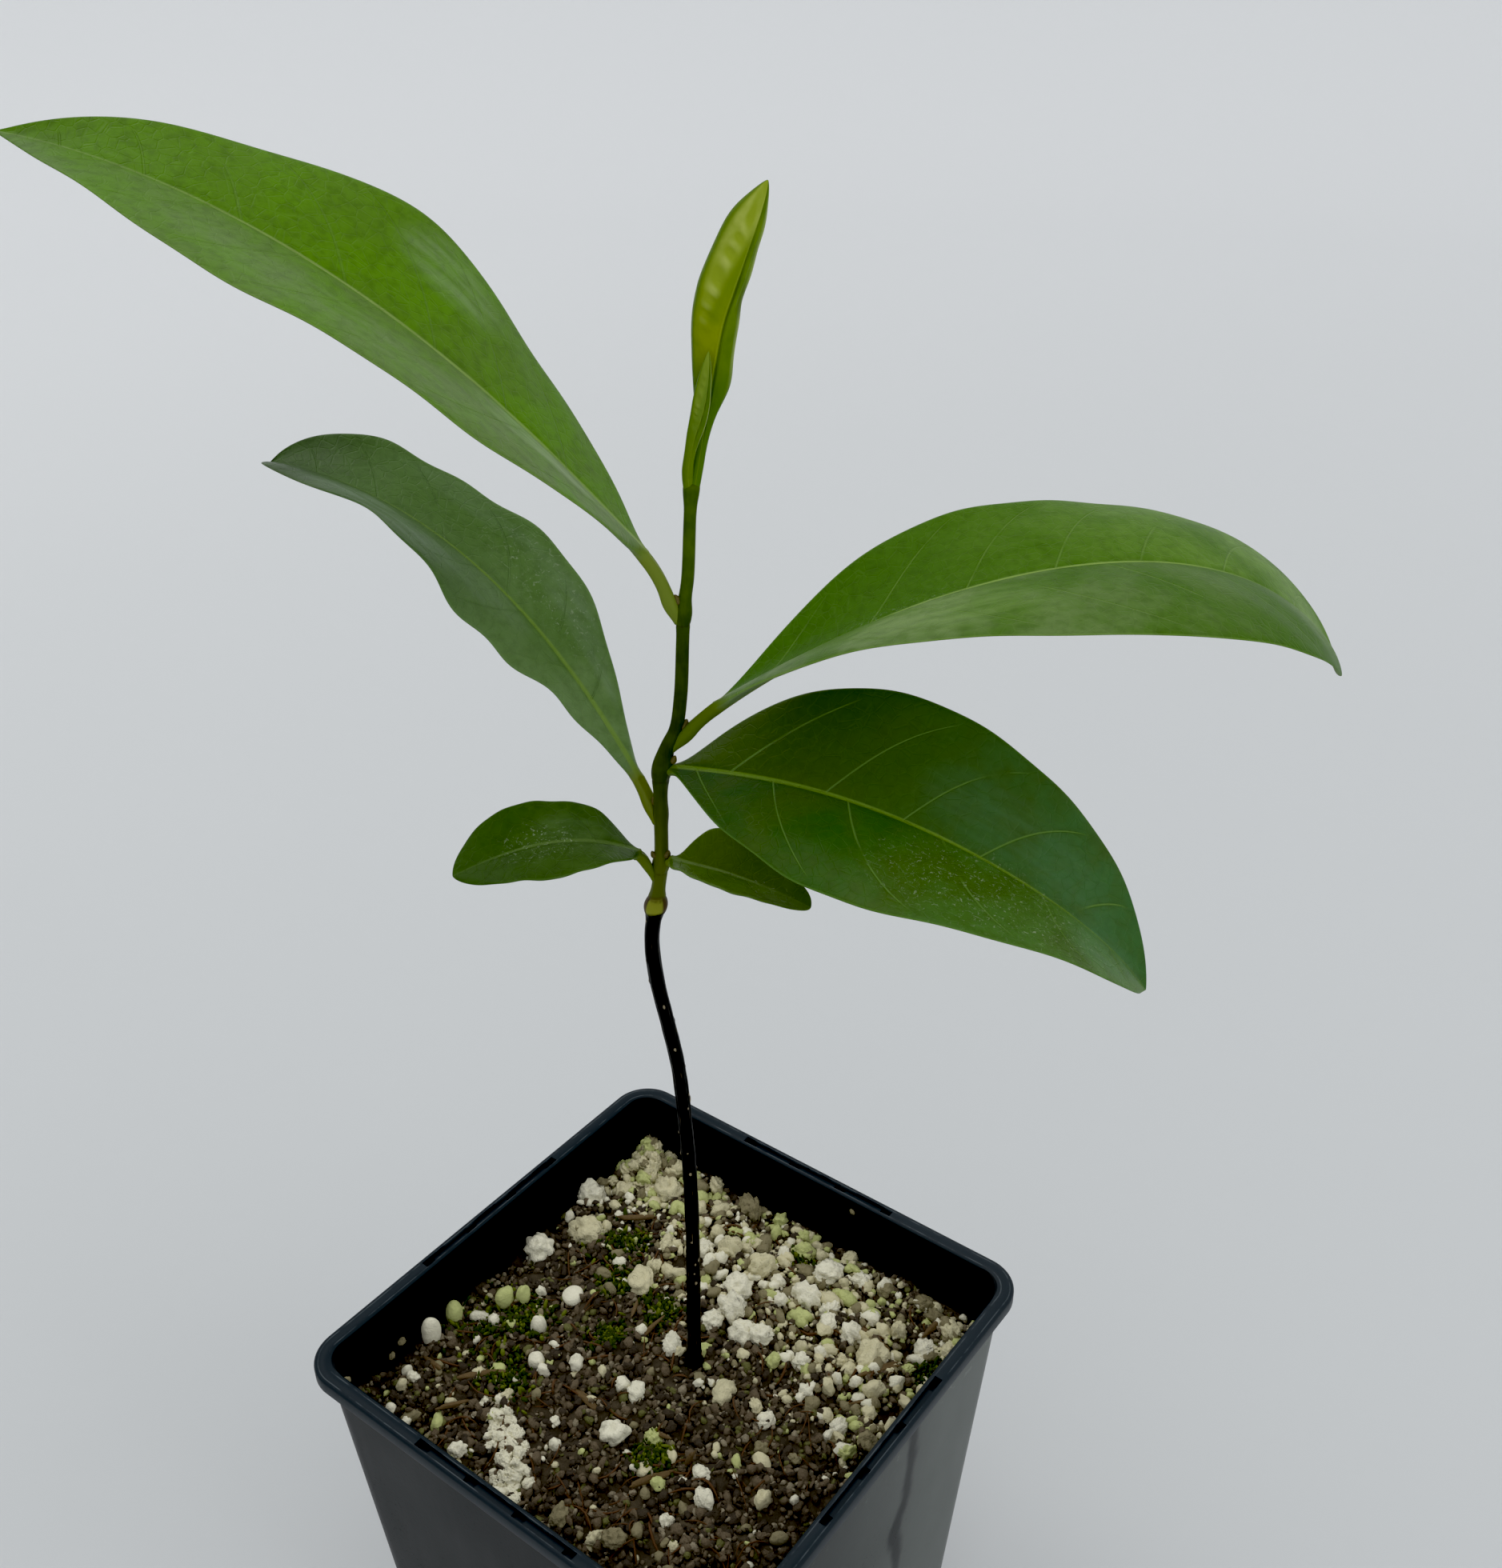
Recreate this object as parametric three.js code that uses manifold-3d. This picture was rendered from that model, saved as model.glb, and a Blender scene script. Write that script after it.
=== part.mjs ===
// A black sapote seedling in its square nursery pot.
// Millimetres, +Z up. The origin is the centre of the pot's flat underside, and the pot's
// sides run along X and Y. Headings are degrees about +Z from +X, rises are degrees above level.

import * as THREE from 'three';
import { mergeVertices } from 'three/addons/utils/BufferGeometryUtils.js';
import Module from 'manifold-3d';

const wasm = await Module();
wasm.setup();

// Clear gap between pieces that meet
const GAP = 0.3;

// Pot: a thin moulded square with rounded corners that narrows towards its base
const POT_HEIGHT = 100;
const RIM_HALF = 45;
const RIM_CORNER = 7.2;
const RIM_WIDTH = 3;
const RIM_DEPTH = 2.6;
const RIM_EASE = 0.4;
const WALL_HALF_TOP = 43.2;
const WALL_HALF_BASE = 37;
const WALL_CORNER = 7;
const WALL_THICKNESS = 1;
const FLOOR_THICKNESS = 1.2;
const FOOT_ROUNDING = 1.5;
const CORNER_STEPS = 5;

// A shallow channel along the middle of each rim side, with deeper square pockets in it
const CHANNEL_LENGTH = 33;
const CHANNEL_WIDTH = 1.4;
const CHANNEL_DEPTH = 0.8;
const POCKET_SIZE = 2.4;
const POCKET_DEPTH = 1.4;
const POCKET_PITCH = 10.5;
const POCKETS_PER_SIDE = 4;

// Drain holes through the pot's floor: one in each corner and one by each side
const DRAIN_RADIUS = 4;
const DRAIN_CORNER_OFFSET = 24;
const DRAIN_SIDE_OFFSET = 27;

// Potting mix: its level at the wall, the mound at the stem and the coarse lumps in it
const MIX_EDGE_LEVEL = 87.4;
const MIX_MOUND = 3;
const MIX_LUMP = 0.55;
const MIX_RINGS = 11;
const MIX_SIDE_STEPS = 6;

// The stem stands here, and leans and bends in the upright plane along LEAN_HEADING
const FOOT_X = 3.9;
const FOOT_Y = 1;
const FOOT_LEVEL = 90.8;
const FOOT_PAD = 2.4;
const LEAN_HEADING = 37.3;

// Centre line of the stem: sideways offset along the lean, height
const STEM_LINE = [
  [0, FOOT_LEVEL], [0.5, 121], [0.4, 136], [-0.1, 148], [-0.8, 158], [-2.2, 167], [-3.5, 175],
  [-3.9, 182], [-3.1, 188], [-2.1, 195], [-1.8, 204], [-1.6, 209.5], [-0.8, 213.5], [0.7, 217],
  [1.5, 222], [2, 230], [2.3, 235], [2.9, 239], [3.4, 247], [3.8, 252.3],
];
const STEM_RINGS = 84;
const STEM_SIDES = 12;

// Radius of the bare stem between its nodes: height, radius
const STEM_TAPER = [[FOOT_LEVEL, 1.2], [140, 1.12], [184, 1.12], [191, 1.02], [222, 0.92], [252, 0.78]];

// Swellings: the root flare, the seed-leaf collar and the leaf nodes: height, added radius, reach
const STEM_SWELLINGS = [
  [FOOT_LEVEL, 0.5, 2.4], [188, 0.68, 1.7], [195.2, 0.3, 1.2], [203.5, 0.15, 1.4],
  [211, 0.5, 2.6], [215.5, 0.15, 1.4], [234.2, 0.3, 1.6], [251.8, 0.1, 1.2],
];

// Leaves have this share of their length as thickness, and at least LEAST_THICKNESS
const THICKNESS_SHARE = 0.0115;
const LEAST_THICKNESS = 0.4;
const PETIOLE_RADIUS = 0.8;
const LEAF_SIDES = 12;
const PETIOLE_RINGS = 6;
const BLADE_RINGS = 24;

// Each leaf. rise has four angles: petiole foot, blade base, mid blade, tip. heading has three
// and roll two along the blade. left and right give, for each half, the upward fold, its curl,
// and the waves of its margin as height, number and phase.
const LEAVES = [
  {
    name: 'leaf_upper_left', node: 234, petiole: 11, length: 90.5, halfWidth: 18.1, widest: 0.44,
    fullness: 2, rise: [85, 52, 37, 5], heading: [226, 216, 198], roll: [-4, -15],
    left: { fold: 13, curl: -6, wave: [0.5, 2.75, -25] },
    right: { fold: 14, curl: -4, wave: [1, 2.25, 55] }, colour: 0x4f8a1e,
  },
  {
    name: 'leaf_middle_left', node: 203, petiole: 7, length: 69, halfWidth: 11.2, widest: 0.68,
    fullness: 1.4, rise: [66, 49, 39, 3], heading: [177, 196, 203], roll: [-18, 32],
    left: { fold: 9, curl: -11, wave: [1.4, 2, -40] },
    right: { fold: 19, curl: 35, wave: [-1.4, 1.75, 30] }, colour: 0x35602b,
  },
  {
    name: 'leaf_lower_left', node: 195, petiole: 3, length: 27.5, halfWidth: 7.1, widest: 0.5,
    fullness: 1.4, rise: [66, 43, 1, -18], heading: [237, 235, 239], roll: [-6, -21],
    left: { fold: 12, curl: -11, wave: [0.5, 1.75, -30] },
    right: { fold: 15, curl: 2, wave: [0.3, 2.25, -105] }, colour: 0x2f5c17,
  },
  {
    name: 'leaf_lower_right', node: 195.5, petiole: 2, length: 21.5, halfWidth: 5.6, widest: 0.51,
    fullness: 1.2, rise: [53, 17, -2, -21], heading: [0, 8, 18], roll: [3, 14],
    left: { fold: 22, curl: 21, wave: [-2.1, 1, 180] },
    right: { fold: 20, curl: 12, wave: [0.3, 1.5, 15] }, colour: 0x284f14,
  },
  {
    name: 'leaf_upper_right', node: 215, petiole: 9.5, length: 102.5, halfWidth: 18.9, widest: 0.56,
    fullness: 1.7, rise: [56, 37, 2, -61], heading: [28, 48, 67], roll: [-26, 20],
    left: { fold: 15, curl: 2, wave: [-4.6, 1, 205] },
    right: { fold: 8, curl: -28, wave: [0.4, 2.25, -110] }, colour: 0x4a7d22,
  },
  {
    name: 'leaf_middle_right', node: 210.5, petiole: 1.5, length: 73, halfWidth: 16.1, widest: 0.44,
    fullness: 1.5, rise: [41, 8, -12, -59], heading: [21, 10, 45], roll: [19, 12],
    left: { fold: 19, curl: 20, wave: [-0.7, 1.5, 85] },
    right: { fold: 13, curl: -9, wave: [2, 1.5, 50] }, colour: 0x24480f,
  },
];

// Young leaves at the tip, still rolled into spindles: centre line as sideways offset, forward
// offset and height, the radii of the stalk, the spindle's half width, its depth as a share of
// that, where the spindle starts and is widest along the line, and its fullness.
const YOUNG_LEAVES = [
  {
    name: 'young_leaf_rolled',
    line: [[4.4, -0.2, 252.7], [5.7, -0.4, 256.5], [6.3, -0.5, 262], [6.9, -0.3, 268],
      [7.5, 0, 273.5], [9.6, 0, 280.3], [13.4, 0, 288]],
    stalk: 0.36, halfWidth: 2.8, depth: 0.72, start: 0.1, widest: 0.62, fullness: 1.15,
    rings: 22, sides: 12, colour: 0x7d8f1a,
  },
  {
    name: 'young_leaf_inner',
    line: [[3.3, 0.1, 252.7], [3.3, 0.6, 254.3], [4.1, 1.5, 258.1], [4.8, 2, 261.5],
      [5.4, 2.3, 264.9], [6.3, 2.5, 269.2]],
    stalk: 0.34, halfWidth: 0.95, depth: 0.6, start: 0.2, widest: 0.6, fullness: 1.3,
    rings: 12, sides: 8, colour: 0x6a8a22,
  },
];

const FINISH = {
  pot: new THREE.MeshStandardMaterial({ color: 0x1d2226, roughness: 0.38, metalness: 0 }),
  mix: new THREE.MeshStandardMaterial({ color: 0x4a3b2c, roughness: 0.95, metalness: 0 }),
  stem: new THREE.MeshStandardMaterial({ color: 0x1c1712, roughness: 0.45, metalness: 0 }),
};

const radians = THREE.MathUtils.degToRad;
const lerp = THREE.MathUtils.lerp;
const UP = new THREE.Vector3(0, 0, 1);
const LEAN_SIDE = new THREE.Vector3(Math.cos(radians(LEAN_HEADING)), Math.sin(radians(LEAN_HEADING)), 0);
const LEAN_FRONT = new THREE.Vector3(LEAN_SIDE.y, -LEAN_SIDE.x, 0);

// Six times the volume under one triangle, for the sign of a closed surface
function triangleVolume(a, b, c) {
  return a.dot(b.clone().cross(c));
}

// A closed solid through a stack of rings with equal numbers of points, with a fan at each end
function loft(rings) {
  const sides = rings[0].length;
  const points = rings.flat();
  const centres = [rings[0], rings.at(-1)].map((ring) => (
    ring.reduce((sum, point) => sum.add(point), new THREE.Vector3()).divideScalar(sides)));
  points.push(...centres);
  const firstCentre = points.length - 2;
  const lastCentre = points.length - 1;
  const lastRing = (rings.length - 1) * sides;
  const faces = [];
  for (let side = 0; side < sides; side += 1) {
    const next = (side + 1) % sides;
    faces.push([firstCentre, next, side]);
    faces.push([lastCentre, lastRing + side, lastRing + next]);
    for (let row = 0; row < lastRing; row += sides) {
      faces.push([row + side, row + next, row + sides + next]);
      faces.push([row + side, row + sides + next, row + sides + side]);
    }
  }
  const volume = faces.reduce((sum, [a, b, c]) => sum + triangleVolume(points[a], points[b], points[c]), 0);
  const outward = volume > 0 ? faces : faces.map(([a, b, c]) => [a, c, b]);
  const geometry = new THREE.BufferGeometry().setFromPoints(points);
  geometry.setIndex(outward.flat());
  return geometry;
}

// Conversions between a three.js geometry and a solid that can be joined and cut
function toSolid(geometry) {
  const plain = geometry.clone();
  plain.deleteAttribute('normal');
  plain.deleteAttribute('uv');
  const merged = mergeVertices(plain, 1e-4);
  return new wasm.Manifold(new wasm.Mesh({
    numProp: 3,
    vertProperties: new Float32Array(merged.attributes.position.array),
    triVerts: new Uint32Array(merged.index.array),
  }));
}

function toGeometry(solid) {
  const mesh = solid.getMesh();
  const geometry = new THREE.BufferGeometry();
  geometry.setAttribute('position', new THREE.BufferAttribute(mesh.vertProperties, 3));
  geometry.setIndex(new THREE.BufferAttribute(mesh.triVerts, 1));
  return geometry;
}

function makePiece(name, geometry, material) {
  geometry.computeVertexNormals();
  const piece = new THREE.Mesh(geometry, material);
  piece.name = name;
  return piece;
}

// A value read from a short table of [place, value] rows, straight between them
function readTable(table, place) {
  if (place <= table[0][0]) return table[0][1];
  for (let row = 1; row < table.length; row += 1) {
    const [from, fromValue] = table[row - 1];
    const [to, toValue] = table[row];
    if (place <= to) return lerp(fromValue, toValue, (place - from) / (to - from));
  }
  return table.at(-1)[1];
}

// A smooth value through a start, a middle and an end, at t from 0 to 1
function throughThree(start, middle, end, t) {
  return start * (1 - t) * (1 - 2 * t) + middle * 4 * t * (1 - t) + end * t * (2 * t - 1);
}

// Outline of a square with rounded corners, walked round one corner and along one side at a time
function roundedSquare(half, corner, height, sideSteps = 1) {
  const inset = half - corner;
  const ring = [];
  for (let quarter = 0; quarter < 4; quarter += 1) {
    const points = [];
    for (let step = 0; step <= CORNER_STEPS; step += 1) {
      const angle = radians(90 * step / CORNER_STEPS);
      points.push(new THREE.Vector3(
        inset + corner * Math.cos(angle), inset + corner * Math.sin(angle), height));
    }
    for (let step = 1; step < sideSteps; step += 1) {
      points.push(new THREE.Vector3(lerp(inset, -inset, step / sideSteps), half, height));
    }
    ring.push(...points.map((point) => point.applyAxisAngle(UP, radians(90 * quarter))));
  }
  return ring;
}

// Half size of the wall's outside at a height
function wallHalf(height) {
  return lerp(WALL_HALF_BASE, WALL_HALF_TOP, height / (POT_HEIGHT - RIM_DEPTH));
}

function innerHalf(height) {
  return wallHalf(height) - WALL_THICKNESS;
}

function block(width, depth, height, x, y, z) {
  return new THREE.BoxGeometry(width, depth, height).translate(x, y, z);
}

// The rim channel and its pockets on one side, turned to that side
function rimCuts(turn) {
  const middle = RIM_HALF - RIM_WIDTH / 2;
  const cuts = [block(CHANNEL_LENGTH, CHANNEL_WIDTH, 2 * CHANNEL_DEPTH, 0, middle, POT_HEIGHT)];
  for (let index = 0; index < POCKETS_PER_SIDE; index += 1) {
    const along = (index - (POCKETS_PER_SIDE - 1) / 2) * POCKET_PITCH;
    cuts.push(block(POCKET_SIZE, CHANNEL_WIDTH, 2 * POCKET_DEPTH, along, middle, POT_HEIGHT));
  }
  return cuts.map((cut) => cut.rotateZ(turn));
}

function drainHole(x, y) {
  const hole = new THREE.CylinderGeometry(DRAIN_RADIUS, DRAIN_RADIUS, 4 * FLOOR_THICKNESS, 16);
  return hole.rotateX(Math.PI / 2).translate(x, y, 0);
}

function makePot() {
  const rimFoot = POT_HEIGHT - RIM_DEPTH;
  const innerCorner = WALL_CORNER - WALL_THICKNESS;
  const shell = loft([
    roundedSquare(WALL_HALF_BASE - FOOT_ROUNDING, WALL_CORNER - FOOT_ROUNDING, 0),
    roundedSquare(wallHalf(FOOT_ROUNDING), WALL_CORNER, FOOT_ROUNDING),
    roundedSquare(wallHalf(rimFoot), WALL_CORNER, rimFoot),
    roundedSquare(RIM_HALF, RIM_CORNER, rimFoot),
    roundedSquare(RIM_HALF, RIM_CORNER, POT_HEIGHT - RIM_EASE),
    roundedSquare(RIM_HALF - RIM_EASE, RIM_CORNER - RIM_EASE, POT_HEIGHT),
    roundedSquare(RIM_HALF - RIM_WIDTH, innerCorner, POT_HEIGHT),
    roundedSquare(innerHalf(FLOOR_THICKNESS), innerCorner, FLOOR_THICKNESS),
  ]);
  let solid = toSolid(shell);
  for (let side = 0; side < 4; side += 1) {
    const turn = side * Math.PI / 2;
    const holes = [drainHole(DRAIN_CORNER_OFFSET, DRAIN_CORNER_OFFSET), drainHole(DRAIN_SIDE_OFFSET, 0)];
    const cuts = [...rimCuts(turn), ...holes.map((hole) => hole.rotateZ(turn))];
    for (const cut of cuts) {
      solid = solid.subtract(toSolid(cut));
    }
  }
  return makePiece('pot', toGeometry(solid), FINISH.pot);
}

// Level of the mix at a point: a low mound towards the stem with coarse lumps that fade at its foot
function mixLevel(x, y, share) {
  const lumps = Math.sin(0.52 * x + 0.21 * y) + Math.sin(0.47 * y - 0.26 * x + 1.3)
    + 0.7 * Math.sin(0.83 * x - 0.61 * y + 0.4);
  const mound = MIX_MOUND * (1 - share * share);
  return MIX_EDGE_LEVEL + mound + MIX_LUMP * lumps * Math.min(1, 3 * share);
}

function makeMix() {
  const floor = FLOOR_THICKNESS + GAP;
  const corner = WALL_CORNER - WALL_THICKNESS - GAP;
  const rings = [roundedSquare(innerHalf(floor) - GAP, corner, floor, MIX_SIDE_STEPS)];
  const edge = roundedSquare(innerHalf(MIX_EDGE_LEVEL) - 2 * GAP, corner, MIX_EDGE_LEVEL, MIX_SIDE_STEPS);
  for (let step = 0; step <= MIX_RINGS; step += 1) {
    const share = 1 - step / MIX_RINGS;
    rings.push(edge.map((point) => {
      const angle = Math.atan2(point.y - FOOT_Y, point.x - FOOT_X);
      const x = lerp(FOOT_X + FOOT_PAD * Math.cos(angle), point.x, share);
      const y = lerp(FOOT_Y + FOOT_PAD * Math.sin(angle), point.y, share);
      return new THREE.Vector3(x, y, mixLevel(x, y, share));
    }));
  }
  const pad = rings.at(-1);
  for (const point of pad) {
    point.z = FOOT_LEVEL - GAP;
  }
  return makePiece('potting_mix', loft(rings), FINISH.mix);
}

// A point from its sideways and forward offsets from the stem's foot and its height
function standPoint(sideways, forward, height) {
  return new THREE.Vector3(FOOT_X, FOOT_Y, height)
    .addScaledVector(LEAN_SIDE, sideways).addScaledVector(LEAN_FRONT, forward);
}

function stemCentre(height) {
  const table = STEM_LINE.map(([sideways, level]) => [level, sideways]);
  return standPoint(readTable(table, height), 0, height);
}

function stemRadius(height) {
  let radius = readTable(STEM_TAPER, height);
  for (const [level, swell, reach] of STEM_SWELLINGS) {
    radius += swell * Math.exp(-(((height - level) / reach) ** 2));
  }
  return radius;
}

// A level ring round the stem's centre line, so that the cut at the mix and the tip are flat
function makeStem() {
  const curve = new THREE.CatmullRomCurve3(
    STEM_LINE.map(([sideways, height]) => standPoint(sideways, 0, height)), false, 'centripetal');
  const rings = [];
  for (let step = 0; step <= STEM_RINGS; step += 1) {
    const centre = curve.getPointAt(step / STEM_RINGS);
    const ring = [];
    for (let side = 0; side < STEM_SIDES; side += 1) {
      const angle = 2 * Math.PI * side / STEM_SIDES;
      const radius = stemRadius(centre.z);
      ring.push(new THREE.Vector3(
        centre.x + radius * Math.cos(angle), centre.y + radius * Math.sin(angle), centre.z));
    }
    rings.push(ring);
  }
  return makePiece('stem', loft(rings), FINISH.stem);
}

// Half width along a blade as a share of its greatest, pointed at both ends
function widthShare(along, widest, fullness) {
  const towardsBase = (along / widest) ** (fullness * widest);
  const towardsTip = ((1 - along) / (1 - widest)) ** (fullness * (1 - widest));
  return towardsBase * towardsTip;
}

function direction(heading, rise) {
  const level = Math.cos(radians(rise));
  return new THREE.Vector3(
    level * Math.cos(radians(heading)), level * Math.sin(radians(heading)), Math.sin(radians(rise)));
}

// Left-hand and upward directions across a leaf that runs along a heading and rise, with a roll
function crossFrame(heading, rise, roll) {
  const along = direction(heading, rise);
  const level = direction(heading + 90, 0);
  const up = new THREE.Vector3().crossVectors(along, level);
  const turn = radians(roll);
  const left = level.clone().multiplyScalar(Math.cos(turn)).addScaledVector(up, Math.sin(turn));
  const normal = up.multiplyScalar(Math.cos(turn)).addScaledVector(level, -Math.sin(turn));
  return { left, normal };
}

// Stations along a petiole: level at its foot, pushed out from the stem until it stands clear
function petioleStations(leaf) {
  const heading = leaf.heading[0];
  const outward = direction(heading, 0);
  const footRadius = Math.max(...[-1, 0, 1].map((way) => stemRadius(leaf.node + way * PETIOLE_RADIUS)));
  const place = stemCentre(leaf.node).addScaledVector(outward, footRadius + GAP);
  const stations = [{ place: place.clone(), heading, rise: 0 }];
  const step = leaf.petiole / PETIOLE_RINGS;
  for (let index = 0; index < PETIOLE_RINGS; index += 1) {
    const rise = lerp(leaf.rise[0], leaf.rise[1], (index + 0.5) / PETIOLE_RINGS);
    place.addScaledVector(direction(heading, rise), step);
    const offset = place.clone().sub(stemCentre(place.z)).setZ(0);
    const clear = stemRadius(place.z) + PETIOLE_RADIUS + 1.3 * GAP;
    const push = Math.max(0, clear - offset.dot(outward));
    const pushed = place.clone().addScaledVector(outward, push);
    stations.push({ place: pushed, heading, rise });
  }
  return { stations, end: place };
}

// Section of a blade: across from the midrib each half folds up and curls, and its margin waves
function bladeSection(leaf, half, reach, halfWidth, along) {
  const fold = radians(half.fold);
  const curl = radians(half.curl) || 1e-4;
  const [height, count, phase] = half.wave;
  const bend = fold + curl * reach;
  const wave = height * reach * reach * Math.sin(2 * Math.PI * count * along + radians(phase))
    * Math.sqrt(Math.max(0, widthShare(along, 0.5, 1.2)));
  return {
    across: halfWidth * (Math.sin(bend) - Math.sin(fold)) / curl,
    up: halfWidth * (Math.cos(fold) - Math.cos(bend)) / curl + wave,
    tilt: bend,
  };
}

// One closed ring across the leaf: a round petiole section that flattens into the blade
function leafRing(leaf, station, along, halfWidth, halfThickness, flatness) {
  const { left, normal } = crossFrame(station.heading, station.rise, station.roll ?? leaf.roll[0]);
  const ring = [];
  for (let side = 0; side < LEAF_SIDES; side += 1) {
    const angle = 2 * Math.PI * side / LEAF_SIDES;
    const across = Math.cos(angle);
    const sign = across >= 0 ? 1 : -1;
    const half = across >= 0 ? leaf.left : leaf.right;
    const thick = Math.sign(Math.sin(angle)) * Math.abs(Math.sin(angle)) ** flatness * halfThickness;
    const section = bladeSection(leaf, half, Math.abs(across), halfWidth, along);
    const sideways = sign * (section.across - thick * Math.sin(section.tilt) * (1 - flatness));
    const upward = section.up + thick * lerp(Math.cos(section.tilt), 1, flatness);
    ring.push(station.place.clone().addScaledVector(left, sideways).addScaledVector(normal, upward));
  }
  return ring;
}

function makeLeaf(leaf) {
  const length = leaf.length + leaf.petiole;
  const bladeHalfThickness = Math.max(LEAST_THICKNESS, THICKNESS_SHARE * length) / 2;
  const { stations, end } = petioleStations(leaf);
  const plain = { ...leaf, left: { ...leaf.left, wave: [0, 1, 0] }, right: { ...leaf.right, wave: [0, 1, 0] } };
  const rings = stations.map((station) => (
    leafRing(plain, { ...station, roll: 0 }, 0, PETIOLE_RADIUS, PETIOLE_RADIUS, 1)));
  const place = end.clone();
  for (let index = 0; index < BLADE_RINGS; index += 1) {
    const middle = (index + 0.5) / BLADE_RINGS;
    const along = Math.min((index + 1) / BLADE_RINGS, 0.995);
    const headingAt = (t) => throughThree(...leaf.heading, t);
    const riseAt = (t) => throughThree(leaf.rise[1], leaf.rise[2], leaf.rise[3], t);
    place.addScaledVector(direction(headingAt(middle), riseAt(middle)), leaf.length / BLADE_RINGS);
    const station = {
      place, heading: headingAt(along), rise: riseAt(along), roll: lerp(...leaf.roll, along),
    };
    const rib = PETIOLE_RADIUS * (1 - along) ** 3;
    const blade = leaf.halfWidth * widthShare(along, leaf.widest, leaf.fullness);
    const halfThickness = bladeHalfThickness + (PETIOLE_RADIUS - bladeHalfThickness) * (1 - along) ** 8;
    const flatness = lerp(0.45, 1, (1 - along) ** 8);
    rings.push(leafRing(leaf, station, along, Math.hypot(blade, rib), halfThickness, flatness));
  }
  const material = new THREE.MeshStandardMaterial({ color: leaf.colour, roughness: 0.4, metalness: 0 });
  return makePiece(leaf.name, loft(rings), material);
}

// A young leaf rolled lengthwise: rings across a bent spindle on a thin stalk
function makeYoungLeaf(young) {
  const curve = new THREE.CatmullRomCurve3(young.line.map((point) => standPoint(...point)));
  const rings = [];
  for (let step = 0; step <= young.rings; step += 1) {
    const along = step / young.rings;
    const centre = curve.getPointAt(along);
    const tangent = step === 0 ? UP.clone() : curve.getTangentAt(along);
    const front = LEAN_FRONT.clone().addScaledVector(tangent, -LEAN_FRONT.dot(tangent)).normalize();
    const side = new THREE.Vector3().crossVectors(front, tangent);
    const place = Math.min(Math.max(0, (along - young.start) / (1 - young.start)), 0.998);
    const spindle = young.halfWidth * widthShare(place, young.widest, young.fullness);
    const halfWidth = Math.hypot(spindle, young.stalk * (1 - place));
    const halfDepth = Math.hypot(spindle * young.depth, young.stalk * (1 - place));
    const ring = [];
    for (let index = 0; index < young.sides; index += 1) {
      const angle = 2 * Math.PI * index / young.sides;
      ring.push(centre.clone().addScaledVector(side, halfWidth * Math.cos(angle))
        .addScaledVector(front, halfDepth * Math.sin(angle)));
    }
    rings.push(ring);
  }
  const material = new THREE.MeshStandardMaterial({ color: young.colour, roughness: 0.35, metalness: 0 });
  return makePiece(young.name, loft(rings), material);
}

const seedling = new THREE.Group();
seedling.add(makePot(), makeMix(), makeStem());
for (const leaf of LEAVES) {
  seedling.add(makeLeaf(leaf));
}
for (const young of YOUNG_LEAVES) {
  seedling.add(makeYoungLeaf(young));
}

export default seedling;
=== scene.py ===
# %% [markdown]
# # A black sapote seedling in its nursery pot
# This lesson dresses a measured model of a young black sapote: a black stem with green upper
# growth, six glossy leaves, a rolled young leaf at the tip, and a square plastic pot filled with
# peat and perlite. The measured model is loaded first and fixes every size. Each piece is then
# worked out again as a finer surface with numpy, in the same place.

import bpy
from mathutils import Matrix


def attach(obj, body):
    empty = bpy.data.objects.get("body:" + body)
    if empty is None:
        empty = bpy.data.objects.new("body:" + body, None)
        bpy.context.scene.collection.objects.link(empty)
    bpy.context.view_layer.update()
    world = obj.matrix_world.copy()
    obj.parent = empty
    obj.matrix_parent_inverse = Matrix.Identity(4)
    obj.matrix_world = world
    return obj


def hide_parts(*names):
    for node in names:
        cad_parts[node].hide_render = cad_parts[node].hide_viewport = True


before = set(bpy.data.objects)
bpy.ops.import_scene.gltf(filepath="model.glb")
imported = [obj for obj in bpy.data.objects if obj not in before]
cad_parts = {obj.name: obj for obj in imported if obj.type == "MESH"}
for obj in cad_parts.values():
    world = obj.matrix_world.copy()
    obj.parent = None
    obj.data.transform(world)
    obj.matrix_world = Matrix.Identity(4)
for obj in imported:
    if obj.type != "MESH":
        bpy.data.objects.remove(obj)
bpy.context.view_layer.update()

# %% Tools that every cell uses
import math

import bpy
import numpy as np
from mathutils import Matrix, Vector

MM = 0.001
BODY = "root"

# %% [markdown]
# ## Camera
# The picture was taken from a little above the leaves, close up, with a wide lens. The camera
# is placed with numbers that were worked out from the pot's rim, which is a square of known
# size: an azimuth round the plant, an elevation above level, and a slight roll.

# %% Camera
CAMERA_PLACE = Vector((131.07, -147.99, 323.21)) * MM
CAMERA_AZIMUTH = math.radians(37.31)
CAMERA_ELEVATION = math.radians(30.46)
CAMERA_ROLL = math.radians(-0.52)
# Focal length and sensor width in millimetres
LENS, SENSOR_WIDTH = 37.57, 36


def camera_turn(azimuth, elevation, roll):
    """Turning matrix whose columns are the camera's right, up and backward directions."""
    back = Vector((math.sin(azimuth) * math.cos(elevation),
                   -math.cos(azimuth) * math.cos(elevation), math.sin(elevation)))
    level_right = Vector((math.cos(azimuth), math.sin(azimuth), 0))
    level_up = back.cross(level_right)
    right = level_right * math.cos(roll) + level_up * math.sin(roll)
    up = level_up * math.cos(roll) - level_right * math.sin(roll)
    return Matrix((right, up, back)).transposed()


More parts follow.
